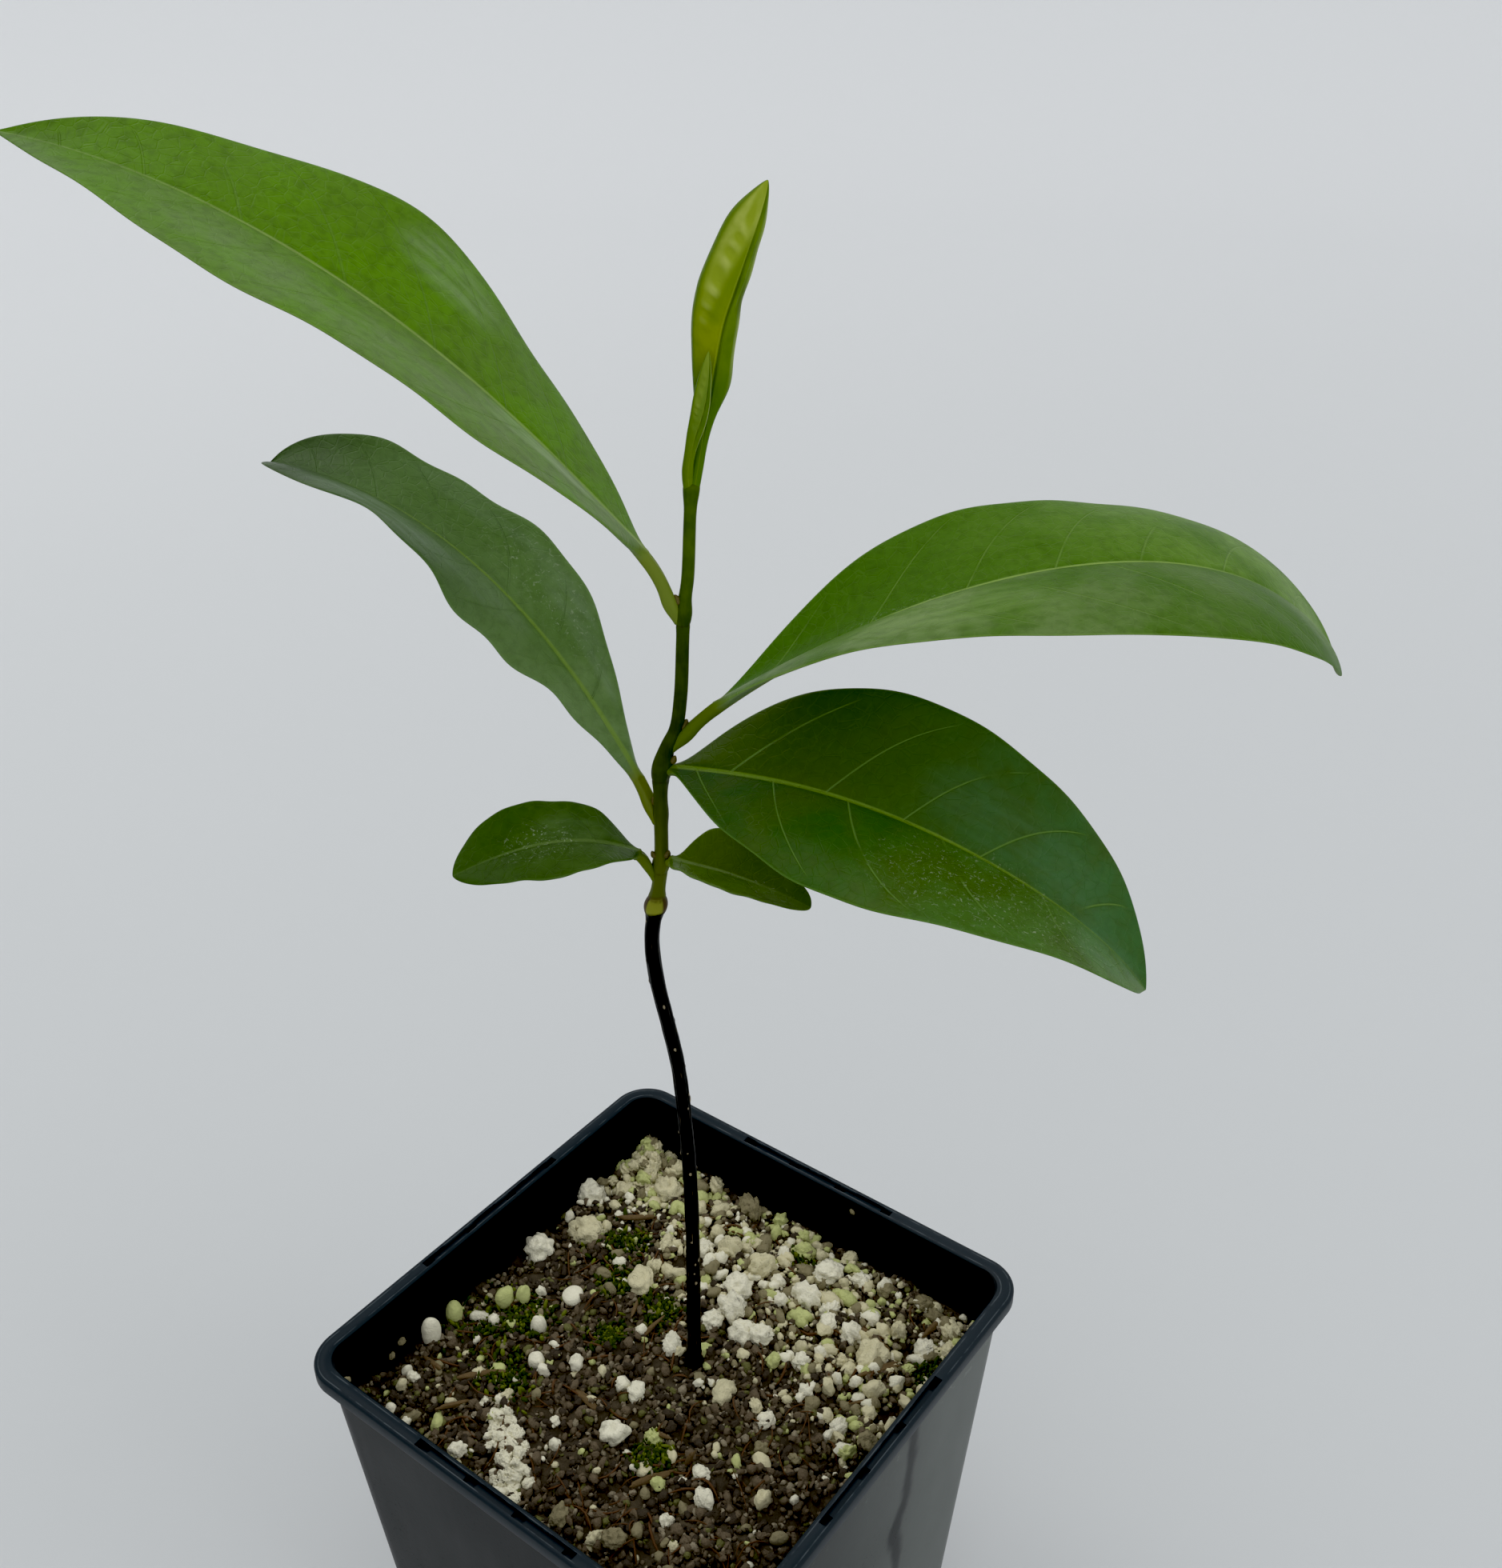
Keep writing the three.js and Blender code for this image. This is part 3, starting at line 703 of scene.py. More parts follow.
def mix_body(steps=40):
    """Rings from the pot's floor up the wall, then over the top in to the stem, where small
    waves stand for fine crumbs."""
    floor_level = FLOOR_THICKNESS + GAP
    floor_half = wall_half(floor_level) - WALL_THICKNESS - GAP
    low, edge = rounded_square([floor_half, EDGE_HALF], MIX_CORNER, corner_steps=8, side_steps=30)
    share = np.linspace(1, PAD_SHARE, steps)[:, None, None]
    top = np.array([FOOT_X, FOOT_Y]) * (1 - share) + edge * share
    x, y = top[..., 0], top[..., 1]
    fine = 0.22 * np.sin(3.1 * x + 1.7 * y) * np.sin(2.7 * y - 1.3 * x)
    level = mix_level(x, y) + fine
    top_rings = np.concatenate([top, level[..., None]], -1)
    low_ring = np.column_stack([low, np.full(len(low), floor_level)])[None]
    return loft("mix_body", np.concatenate([low_ring, top_rings]))


mix = mix_body()

# %% Finish of the mix body
def peat_finish():
    """Dark peat: clouds of two browns, with paler specks."""
    paint = Finish("damp_peat")
    place = paint.place()
    clouds = paint.noise(place, 160, 4, 0.6)
    crumbs = paint.cells(place, 620)
    fine = paint.noise(place, 1400, 3, 0.7)
    brown = paint.mix(paint.step(clouds, 0.35, 0.65), colour(64, 57, 46), colour(88, 79, 63))
    tone = paint.mix(paint.step(fine, 0.6, 0.75), brown, colour(104, 88, 66))
    relief = (1 - crumbs) + fine * 0.6
    return paint.skin(tone, 0.9, 0.2, paint.bump(relief, 0.0006))


settle(mix, peat_finish(), "potting_mix", "potting_mix")

# %% [markdown]
# ## Many small lumps at once
# A crumb is a ball whose radius swells and sinks with a few waves over its direction, then
# stretched and turned. Numpy makes thousands of them in one array, each with its own waves, and
# they are joined to one object per colour group. Perlite is puffed like popcorn, so its waves
# are folded upwards, which leaves round lobes between sharp creases. A grid is a lump's number
# of rings, and of points round each ring.

# %% Lump helpers
def ball_directions(grid):
    """Unit directions on a ball: rings between the poles, then the two poles."""
    rows, around = grid
    polar = np.linspace(0, np.pi, rows + 2)[1:-1][:, None]
    angle = np.linspace(0, 2 * np.pi, around, endpoint=False)[None, :]
    rings = np.stack([np.sin(polar) * np.cos(angle), np.sin(polar) * np.sin(angle),
                      -np.cos(polar) + 0 * angle], -1)
    return np.concatenate([rings.reshape(-1, 3), [[0, 0, -1], [0, 0, 1]]])


def random_turns(count, chance, tilt):
    """Turning matrices from random unit quaternions. A tilt under 1 keeps lumps more level."""
    w, x, y, z = chance.normal(size=(4, count)) * np.array([1, tilt, tilt, 1])[:, None]
    w, x, y, z = np.array([w, x, y, z]) / np.sqrt(w * w + x * x + y * y + z * z)
    rows = [[1 - 2 * (y * y + z * z), 2 * (x * y - z * w), 2 * (x * z + y * w)],
            [2 * (x * y + z * w), 1 - 2 * (x * x + z * z), 2 * (y * z - x * w)],
            [2 * (x * z - y * w), 2 * (y * z + x * w), 1 - 2 * (x * x + y * y)]]
    return np.array(rows).transpose(2, 0, 1)


def lump_points(places, sizes, chance, grid, depth, pitch, folded=False, tilt=1.0):
    """Points of shape (lumps, points, 3): direction times a wavy radius times half sizes,
    turned at random and moved to its place. folded waves make round lobes."""
    count = len(places)
    directions = ball_directions(grid)
    waves = chance.normal(size=(count, 4, 3)) * pitch
    phases = chance.uniform(0, 2 * np.pi, (count, 4, 1))
    swell = np.sin(np.einsum("nkc,vc->nkv", waves, directions) + phases)
    if folded:
        swell = 2 * abs(swell) - 1
    radius = 1 + depth * swell.mean(axis=1)
    shapes = directions[None] * radius[..., None] * sizes[:, None, :]
    turns = random_turns(count, chance, tilt)
    return np.einsum("nij,nvj->nvi", turns, shapes) + places[:, None, :]


def within_wall(points):
    """Presses points in to the wall: what lies past the rounded square's straight part is
    shortened to the corner radius."""
    flat = EDGE_HALF - MIX_CORNER
    sides = points[..., :2]
    past = np.clip(abs(sides) - flat, 0, None)
    shorten = np.minimum(1, MIX_CORNER / np.maximum(np.hypot(past[..., 0], past[..., 1]), 1e-6))
    inner = np.sign(sides) * (np.minimum(abs(sides), flat) + past * shorten[..., None])
    return np.concatenate([inner, points[..., 2:]], -1)


def lump_piece(name, points, grid):
    """Joins lumps of equal grids to one object."""
    count, each = points.shape[:2]
    offset = (np.arange(count) * each)[:, None, None]
    faces = [(group[None] + offset).reshape(-1, group.shape[1]) for group in loft_faces(*grid)]
    return make_piece(name, points.reshape(-1, 3), faces)


def plain_finish(name, tone, surface):
    """One plain colour. surface is its roughness, and the fineness and depth in metres of its
    grain."""
    roughness, grain, depth = surface
    paint = Finish(name)
    relief = paint.noise(paint.place(), grain, 3, 0.65)
    return paint.skin(tone, roughness, 0.25, paint.bump(relief, depth))


def lay_on_mix(name, points, grid, finish):
    """One object from lumps that lie on the mix, pressed in to the wall."""
    settle(lump_piece(name, within_wall(points), grid), finish, "potting_mix")


def on_mix(x, y, lift):
    """Places over plan points, at the mix's own level plus a lift."""
    return np.stack([x, y, mix_level(x, y) + lift], -1)


def inside_pot(chance, count, margin):
    """Random points on the mix, a margin in from the wall."""
    reach = EDGE_HALF - margin
    return chance.uniform(-reach, reach, (2, count))


# %% Peat crumbs
# Per group: the number of crumbs, the least and the greatest half size, and the colour
CRUMB_GROUPS = [
    ("peat_crumbs_dark", 2900, (0.3, 0.95), colour(69, 61, 50)),
    ("peat_crumbs_brown", 3300, (0.25, 0.9), colour(108, 96, 77)),
    ("peat_crumbs_pale", 2000, (0.25, 0.65), colour(150, 140, 118)),
    ("peat_crumbs_olive", 900, (0.25, 0.75), colour(108, 108, 66)),
]
CRUMB_GRID = (3, 7)
CRUMB_SURFACE = (0.88, 1100, 0.0008)

for index, (name, count, reach, tone) in enumerate(CRUMB_GROUPS):
    chance = np.random.default_rng(100 + index)
    x, y = inside_pot(chance, count, 0.8)
    size = chance.uniform(*reach, count)
    sizes = size[:, None] * chance.uniform(0.45, 1.35, (count, 3))
    places = on_mix(x, y, size * chance.uniform(0.0, 0.9, count))
    points = lump_points(places, sizes, chance, CRUMB_GRID, 0.7, 2.2)
    lay_on_mix(name, points, CRUMB_GRID, plain_finish(name, tone, CRUMB_SURFACE))

# %% [markdown]
# ## Perlite
# Perlite is the white and cream part of the mix. The largest lumps are placed one by one as they
# lie in the pot, a few grains are heaped by the front left wall and piled up in the far corner,
# and small grains fill in at random, thicker towards the back and the right. Some are tinted
# green by algae or stained cream by the peat.

# %% Large perlite lumps
# Each is x, y and half length in millimetres, by colour group
LARGE_LUMPS = {
    "perlite_white": [
        (-39, 22, 2.9), (-37, 5, 3.2), (-1, 1, 2.3), (0, 19, 3.4), (2, 14, 3.2), (10, 12, 2.5),
        (1, 10, 2.0), (7, 11, 2.7), (0, -10, 2.0), (2, -18, 2.8), (19, 12, 1.7), (23, 8, 1.3),
        (31, 6, 1.7), (22, -19, 2.0), (19, -16, 1.3), (11, 25, 3.2), (16, 25, 2.0), (22, 23, 2.3),
        (18, 22, 1.6), (34, 29, 2.2), (16, 35, 1.9), (11, 32, 2.5), (-11, 23, 2.0),
        (-17, -36, 1.5), (-8, -22, 1.1), (19, -25, 1.3), (21, -1, 1.7), (-34, -30, 1.2),
    ],
    "perlite_cream": [
        (-35, 27, 2.4), (-33, 14, 3.3), (-27, 31, 3.3), (-15, 9, 2.6), (-16, 14, 1.7),
        (-17, 19, 2.1), (0, 26, 2.8), (-7, 25, 2.7), (28, 21, 3.2), (11, 39, 1.6),
        (18, 0, 1.5), (12, -1, 2.5), (12, -34, 1.7), (39, -16, 1.6), (-38, 39, 2.1),
        (-34, 40, 1.9), (-30, 38, 2.0), (-21, 39, 2.1), (29, 28, 1.8), (24, 17, 1.5),
        (-25, -23, 1.4), (-18, -23, 1.4), (36, 34, 2.3), (38, 31, 1.8),
    ],
    "perlite_green": [
        (4, 34, 2.2), (-5, 39, 2.0), (15, 9, 1.6), (35, 3, 1.5), (-39, 32, 2.0), (34, 23, 1.4),
        (-6, 31, 1.6), (-33, 31, 1.9), (1, 38, 1.6), (8, -15, 1.7),
    ],
    "perlite_stained": [
        (-11, 37, 2.8), (37, 6, 1.8), (23, -5, 1.3), (29, -4, 1.2), (15, -33, 2.0),
        (5, -35, 1.7), (28, 38, 2.0), (31, 37, 1.9), (21, 36, 1.6), (-40, 26, 1.7), (-3, 31, 1.8),
    ],
}
PERLITE_TONES = {
    "perlite_white": colour(237, 233, 209),
    "perlite_cream": colour(214, 207, 170),
    "perlite_green": colour(194, 200, 134),
    "perlite_stained": colour(138, 130, 100),
}
LARGE_GRID = (16, 22)
CRACKED_SURFACE = (0.85, 620, 0.0009)


def perlite_lumps(name, tone, x, y, half, chance, lift=0):
    """Lumps a little flatter than long, with folded waves, sunk by half into the mix, or lifted
    off it where they are piled up."""
    sizes = half[:, None] * chance.uniform([0.78, 0.62, 0.55], [1, 0.84, 0.76], (len(half), 3))
    places = on_mix(x, y, 0.5 * half + lift)
    points = lump_points(places, sizes, chance, LARGE_GRID, 0.5, 3.2, folded=True, tilt=0.35)
    lay_on_mix(name, points, LARGE_GRID, plain_finish(name, tone, CRACKED_SURFACE))


for index, (group, lumps) in enumerate(LARGE_LUMPS.items()):
    perlite_lumps(group + "_large", PERLITE_TONES[group], *np.array(lumps).T,
                  np.random.default_rng(200 + index))

# %% Heap by the front left wall
# White grains that lie inside the wall between two points
HEAP_FROM, HEAP_TO, HEAP_COUNT = (-18, -25), (-4, -37), 110
HEAP_TONE = colour(236, 232, 206)

chance = np.random.default_rng(210)
share = chance.uniform(size=HEAP_COUNT)
heap_x, heap_y = [start + (end - start) * share + chance.normal(size=HEAP_COUNT) * 1.5
                  for start, end in zip(HEAP_FROM, HEAP_TO)]
perlite_lumps("perlite_heap", HEAP_TONE, heap_x, heap_y,
              chance.uniform(0.5, 1.25, HEAP_COUNT), chance)

# %% Pile in the far corner
# Numbers of grains by colour group, and the pile's middle, reach and rise in millimetres
CORNER_PILE = {"perlite_cream": 40, "perlite_green": 18, "perlite_stained": 16}
PILE_X, PILE_Y, PILE_REACH, PILE_RISE = -39, 39, 12, 3.4

for index, (group, count) in enumerate(CORNER_PILE.items()):
    chance = np.random.default_rng(215 + index)
    away_x, away_y = abs(chance.normal(size=(2, count))) * PILE_REACH * 0.4
    slope = np.clip(1 - np.hypot(away_x, away_y) / PILE_REACH, 0, 1)
    lift = PILE_RISE * slope * chance.uniform(0.3, 1, count)
    perlite_lumps(group + "_corner", PERLITE_TONES[group], PILE_X + away_x, PILE_Y - away_y,
                  chance.uniform(0.6, 1.5, count), chance, lift)

# %% Smooth perlite
# Worn lumps that stand or lie on the mix: x, y, half height and half width. Grains that stick to
# the inside of the wall and of the rim: place and half size.
SMOOTH_LUMPS = {
    "perlite_white": [(-38, -21.9, 3.4, 1.8), (-24.3, -8.8, 2.5, 1.5), (-19.1, -14.7, 1.8, 1.7),
                      (-23.5, -0.4, 1.3, 2.3), (-36.4, -29.4, 1.3, 1.0), (-32.6, -36.6, 1.4, 1.1)],
    "perlite_green": [(-39, -15.5, 2.7, 1.8), (-33.8, -7.6, 2.3, 2.0), (-31, -5.5, 2.0, 1.5)],
}
WALL_GRAINS = [
    (-41.3, -26.1, 90.2, 0.7), (-41.2, -28.7, 88.9, 0.6), (-36.2, -41.8, 98.4, 0.7),
    (-34.6, -41.9, 98.1, 0.55), (-33.0, -41.9, 97.6, 0.45), (9.5, 41.9, 97.5, 0.5),
]
SMOOTH_SURFACE = (0.8, 900, 0.0004)

for index, (group, lumps) in enumerate(SMOOTH_LUMPS.items()):
    x, y, tall, wide = np.array(lumps).T
    name = group + "_upright"
    points = lump_points(on_mix(x, y, 0.55 * tall), np.stack([wide, 0.85 * wide, tall], -1),
                         np.random.default_rng(222 + index), LARGE_GRID, 0.18, 2, tilt=0.05)
    lay_on_mix(name, points, LARGE_GRID, plain_finish(name, PERLITE_TONES[group], SMOOTH_SURFACE))

x, y, z, half = np.array(WALL_GRAINS).T
points = lump_points(np.stack([x, y, z], -1), half[:, None] * np.array([1.1, 0.9, 0.8]),
                     np.random.default_rng(230), LARGE_GRID, 0.4, 2.5, folded=True)
stained = plain_finish("perlite_on_wall", PERLITE_TONES["perlite_stained"], SMOOTH_SURFACE)
settle(lump_piece("perlite_on_wall", points, LARGE_GRID), stained, "potting_mix")

# %% Medium and small perlite grains
# Per group: the number of grains, and the least and the greatest half size
GRAIN_GROUPS = [
    ("perlite_white", "medium", 80, 0.8, 1.6),
    ("perlite_cream", "medium", 120, 0.8, 1.6),
    ("perlite_green", "medium", 100, 0.7, 1.5),
    ("perlite_stained", "medium", 70, 0.8, 1.6),
    ("perlite_white", "small", 280, 0.35, 0.8),
    ("perlite_cream", "small", 380, 0.35, 0.85),
    ("perlite_green", "small", 320, 0.3, 0.75),
    ("perlite_stained", "small", 500, 0.35, 0.9),
]
GRAIN_GRIDS = {"medium": (8, 12), "small": (5, 8)}
GRAIN_SURFACE = (0.85, 900, 0.0005)
# Grains lie thicker along this heading, from and over so many millimetres
DENSE_HEADING, DENSE_FROM, DENSE_OVER = math.radians(82), 4, 17


def perlite_density(x, y):
    """Chance to keep a grain: a tenth in front and on the left, rising to 1 at the back with
    the distance along the heading."""
    onward = x * math.cos(DENSE_HEADING) + y * math.sin(DENSE_HEADING)
    return 0.1 + 0.9 * np.clip((onward - DENSE_FROM) / DENSE_OVER, 0, 1)


for index, (group, grade, count, least, most) in enumerate(GRAIN_GROUPS):
    chance = np.random.default_rng(300 + index)
    x, y = inside_pot(chance, 5 * count, 1.4)
    kept = np.flatnonzero(chance.uniform(size=5 * count) < perlite_density(x, y))[:count]
    x, y = x[kept], y[kept]
    size = least + (most - least) * chance.uniform(size=len(kept)) ** 1.6
    sizes = size[:, None] * chance.uniform([0.95, 0.6, 0.55], [1.3, 0.95, 0.85], (len(kept), 3))
    places = on_mix(x, y, size * chance.uniform(0.2, 0.8, len(kept)) + 0.3)
    grid = GRAIN_GRIDS[grade]
    points = lump_points(places, sizes, chance, grid, 0.45, 2.3, folded=True, tilt=0.5)
    name = group + "_" + grade
    lay_on_mix(name, points, grid, plain_finish(name, PERLITE_TONES[group], GRAIN_SURFACE))

# %% [markdown]
# ## Fibres and moss
# Thin brown fibres of bark and root lie across the crumbs. Moss grows in a few damp patches as
# dense tufts of tiny green lumps.

# %% Fibres
FIBRE_COUNT = 260
FIBRE_ROWS, FIBRE_AROUND = 7, 5
# Least and greatest length and radius in millimetres
FIBRE_LENGTHS, FIBRE_RADII = (2.5, 7.5), (0.1, 0.24)
FIBRE_SURFACE = (0.8, 2500, 0.0001)


def fibre_points(chance):
    """Thin bent tubes: a centre line that runs level along a heading and bows up in the middle,
    with a ring of points about it that thins out at both ends."""
    x, y = inside_pot(chance, FIBRE_COUNT, 6)
    heading = chance.uniform(0, 2 * np.pi, (FIBRE_COUNT, 1))
    length = chance.uniform(*FIBRE_LENGTHS, (FIBRE_COUNT, 1))
    along = np.linspace(-0.5, 0.5, FIBRE_ROWS)[None]
    bow = chance.uniform(-0.25, 0.25, (FIBRE_COUNT, 1)) * length * (1 - 4 * along ** 2)
    line_x = x[:, None] + length * along * np.cos(heading) - bow * np.sin(heading)
    line_y = y[:, None] + length * along * np.sin(heading) + bow * np.cos(heading)
    lift = 0.5 + chance.uniform(0, 1.0, (FIBRE_COUNT, 1)) * (1 - 3 * along ** 2)
    line_z = mix_level(line_x, line_y) + lift
    radius = chance.uniform(*FIBRE_RADII, (FIBRE_COUNT, 1)) * np.sqrt(1.02 - 4 * along ** 2)
    angle = np.linspace(0, 2 * np.pi, FIBRE_AROUND, endpoint=False)
    side = radius[..., None] * np.cos(angle)
    ring_x = line_x[..., None] - side * np.sin(heading)[..., None]
    ring_y = line_y[..., None] + side * np.cos(heading)[..., None]
    ring_z = line_z[..., None] + radius[..., None] * np.sin(angle)
    rings = np.stack([ring_x, ring_y, ring_z], -1)
    poles = rings[:, [0, -1]].mean(axis=2)
    return np.concatenate([rings.reshape(FIBRE_COUNT, -1, 3), poles], 1)


lay_on_mix("bark_fibres", fibre_points(np.random.default_rng(41)), (FIBRE_ROWS, FIBRE_AROUND),
           plain_finish("bark_fibre", colour(92, 66, 42), FIBRE_SURFACE))

# %% Bark slivers
SLIVER_COUNT = 16
# Least and greatest half length in millimetres
SLIVER_HALVES = (2.2, 4.2)
SLIVER_SURFACE = (0.85, 900, 0.0004)


def sliver_points(chance):
    """Flat lumps stretched into splinters: long in one direction and thin in the other two."""
    x, y = inside_pot(chance, SLIVER_COUNT, 5)
    half = chance.uniform(*SLIVER_HALVES, SLIVER_COUNT)
    sizes = half[:, None] * chance.uniform([1, 0.13, 0.1], [1.1, 0.2, 0.16], (SLIVER_COUNT, 3))
    places = on_mix(x, y, chance.uniform(0.6, 1.6, SLIVER_COUNT))
    return lump_points(places, sizes, chance, LARGE_GRID, 0.35, 2, tilt=0.2)


lay_on_mix("bark_slivers", sliver_points(np.random.default_rng(44)), LARGE_GRID,
           plain_finish("bark_sliver", colour(104, 86, 58), SLIVER_SURFACE))

# %% Moss
# Each patch is x, y and reach in millimetres, and each group its number of tufts in a patch
MOSS_PATCHES = [(-33, -13, 6.5), (-27, -8, 4), (-25, 16, 4.5), (38, 26, 3.5), (-8, 6, 3),
                (-21, -20, 4.5), (-12, -3, 3), (-20, 8, 4), (4, 33, 3), (10, -18, 3)]
MOSS_GROUPS = [("moss_bright", 50, colour(104, 114, 36)), ("moss_deep", 150, colour(54, 66, 12))]
MOSS_GRID = (3, 6)
MOSS_SURFACE = (0.85, 2500, 0.0001)

for index, (name, count, tone) in enumerate(MOSS_GROUPS):
    chance = np.random.default_rng(51 + index)
    tufts = [chance.normal(size=(2, count)) * reach * 0.55 + [[x], [y]]
             for x, y, reach in MOSS_PATCHES]
    x, y = np.clip(np.concatenate(tufts, 1), -EDGE_HALF + 1, EDGE_HALF - 1)
    sizes = chance.uniform([0.18, 0.18, 0.4], [0.5, 0.5, 1.1], (x.size, 3))
    places = on_mix(x, y, chance.uniform(0.1, 1.3, x.size))
    points = lump_points(places, sizes, chance, MOSS_GRID, 0.3, 1.5, tilt=0.3)
    lay_on_mix(name, points, MOSS_GRID, plain_finish(name, tone, MOSS_SURFACE))

# %% [markdown]
# ## Smooth lines and frames
# The stem and the rolled leaves follow smooth curves through a few known points. A Catmull-Rom
# curve passes through its points and takes its slope from their neighbours. The other leaves run
# along a heading and a rise that change evenly from base to tip.

# %% Curve helpers
# Heading in degrees of the sideways direction, in which the stem leans and bends
LEAN_HEADING = 37.3
# Steps that a smooth line is worked out in, from each given point to the next
SPAN_STEPS = 40


def smooth_line(points, count):
    """A Catmull-Rom curve in its centripetal form, at equal steps of length. Each span is a
    cubic of its two ends and of slopes weighed by the square roots of the distances."""
    points = np.asarray(points, float)
    padded = np.concatenate([[2 * points[0] - points[1]], points, [2 * points[-1] - points[-2]]])
    p0, p1, p2, p3 = padded[:-3], padded[1:-2], padded[2:-1], padded[3:]
    d0, d1, d2 = [np.linalg.norm(b - a, axis=1)[:, None] ** 0.5
                  for a, b in ((p0, p1), (p1, p2), (p2, p3))]
    slope1 = ((p1 - p0) / d0 - (p2 - p0) / (d0 + d1) + (p2 - p1) / d1) * d1
    slope2 = ((p2 - p1) / d1 - (p3 - p1) / (d1 + d2) + (p3 - p2) / d2) * d1
    t = np.linspace(0, 1, SPAN_STEPS, endpoint=False)[None, :, None]
    start, leave, stop, arrive = [array[:, None] for array in (p1, slope1, p2, slope2)]
    curve = (start + leave * t + (3 * (stop - start) - 2 * leave - arrive) * t ** 2
             + (2 * (start - stop) + leave + arrive) * t ** 3)
    curve = np.concatenate([curve.reshape(-1, 3), points[-1:]])
    length = np.concatenate([[0], np.cumsum(np.linalg.norm(np.diff(curve, axis=0), axis=1))])
    even = np.linspace(0, length[-1], count)
    return np.stack([np.interp(even, length, curve[:, axis]) for axis in range(3)], -1)


def direction(heading, rise):
    """Unit vectors along a heading about Z and a rise above level, in degrees."""
    heading, rise = np.broadcast_arrays(np.radians(heading), np.radians(rise))
    return np.stack([np.cos(rise) * np.cos(heading), np.cos(rise) * np.sin(heading),
                     np.sin(rise)], -1)


LEAN_SIDE = direction(LEAN_HEADING, 0)
LEAN_FRONT = np.array([LEAN_SIDE[1], -LEAN_SIDE[0], 0])


def stand_points(table):
    """Points over the stem's foot from rows of sideways offset, forward offset and height."""
    sideways, forward, height = np.array(table, float).T
    foot = np.array([FOOT_X, FOOT_Y, 0])
    up = np.array([0, 0, 1])
    return (foot + sideways[:, None] * LEAN_SIDE + forward[:, None] * LEAN_FRONT
            + height[:, None] * up)


def bell(distance, reach):
    """1 at no distance, falling off smoothly over the reach."""
    return np.exp(-(distance / reach) ** 2)


# %% [markdown]
# ## Stem
# The lower stem is woody and almost black, with small pale breathing pores. At the seed-leaf
# collar it turns green, and each leaf node is a little swollen. The stem is a stack of level
# rings along the curve. Their radius follows the taper, the swellings, fine lengthwise wrinkles
# that drift round the stem, and the pores.

# %% Stem values
COLLAR_LEVEL = 188
COLLAR_HEADING = 300
STEM_TIP = 252.3
# Points of the centre line: sideways offset, forward offset and height
STEM_LINE = [
    [0, 0, FOOT_LEVEL], [0.5, 0, 121], [0.4, 0, 136], [-0.1, 0, 148], [-0.8, 0, 158],
    [-2.2, 0, 167], [-3.5, 0, 175], [-3.9, 0, 182], [-3.1, 0, COLLAR_LEVEL],
    [-2.1, 0, 195], [-1.8, 0, 204], [-1.6, 0, 209.5], [-0.8, 0, 213.5], [0.7, 0, 217],
    [1.5, 0, 222], [2, 0, 230], [2.3, 0, 235], [2.9, 0, 239], [3.4, 0, 247],
    [3.8, 0, STEM_TIP],
]
# Height and radius
STEM_TAPER = [(FOOT_LEVEL, 1.2), (140, 1.12), (184, 1.12), (191, 1.02), (222, 0.92), (252, 0.78)]
# Height, added radius and reach of the root flare, the collar and the leaf nodes
STEM_SWELLINGS = [(FOOT_LEVEL, 0.5, 2.4), (COLLAR_LEVEL, 0.68, 1.7), (195.2, 0.3, 1.2),
                  (203.5, 0.15, 1.4), (211, 0.5, 2.6), (215.5, 0.15, 1.4), (234.2, 0.3, 1.6),
                  (251.4, 0.3, 2)]


def stem_radius(height):
    """Straight taper between the known heights plus a bell for each swelling."""
    radius = np.interp(height, *np.array(STEM_TAPER).T)
    for level, swell, reach in STEM_SWELLINGS:
        radius = radius + swell * bell(height - level, reach)
    return radius


def tip_dome(height):
    """1 along the stem, closing in a quarter circle over the last millimetre, to just short of
    a point."""
    rise = np.clip((height - STEM_TIP + 1) / 1.05, 0, 1)
    return np.sqrt(1 - rise ** 2)


def stem_centre(height):
    """Point of the centre line at a height, straight between the known points."""
    table = np.array(STEM_LINE)
    sideways = np.interp(height, table[:, 2], table[:, 0])
    return np.array([FOOT_X, FOOT_Y, height]) + sideways * LEAN_SIDE


# %% Stem surface
STEM_ROWS, STEM_AROUND = 700, 48
# Heights of the ring scars, and the number of pores and the heights between which they lie
SCAR_LEVELS = (186.6, 189.4, 193.9, 209.2, 232.6)
PORE_COUNT, PORE_FOOT, PORE_TOP = 46, 93, 186
# The stem's radius where the pores lie, rounded
PORE_RADIUS = 1.1


def stem_relief(angle, height, chance):
    """Lengthwise wrinkles and knots, stronger in the woody part, ring scars, and pores: small
    upright ovals at random places."""
    woody = np.clip((COLLAR_LEVEL - 1 - height) / 6, 0, 1)
    drift = 1.3 * np.sin(0.11 * height) + 0.7 * np.sin(0.31 * height + 2)
    wrinkles = np.sin(7 * angle + drift) + 0.7 * np.sin(13 * angle - 1.7 * drift + 0.13 * height)
    knots = np.sin(0.9 * height + 2 * angle) * np.sin(0.37 * height)
    relief = 0.022 * wrinkles * (0.5 + woody) + 0.03 * knots * woody
    relief = relief - 0.07 * sum(bell(height - level, 0.22) for level in SCAR_LEVELS)
    pore_level = chance.uniform(PORE_FOOT, PORE_TOP, PORE_COUNT)
    pore_angle = chance.uniform(0, 2 * np.pi, PORE_COUNT)
    for level, turn in zip(pore_level, pore_angle):
        sideways = np.angle(np.exp(1j * (angle - turn))) * PORE_RADIUS
        relief = relief + 0.13 * bell(height - level, 0.34) * bell(sideways, 0.22)
    return relief


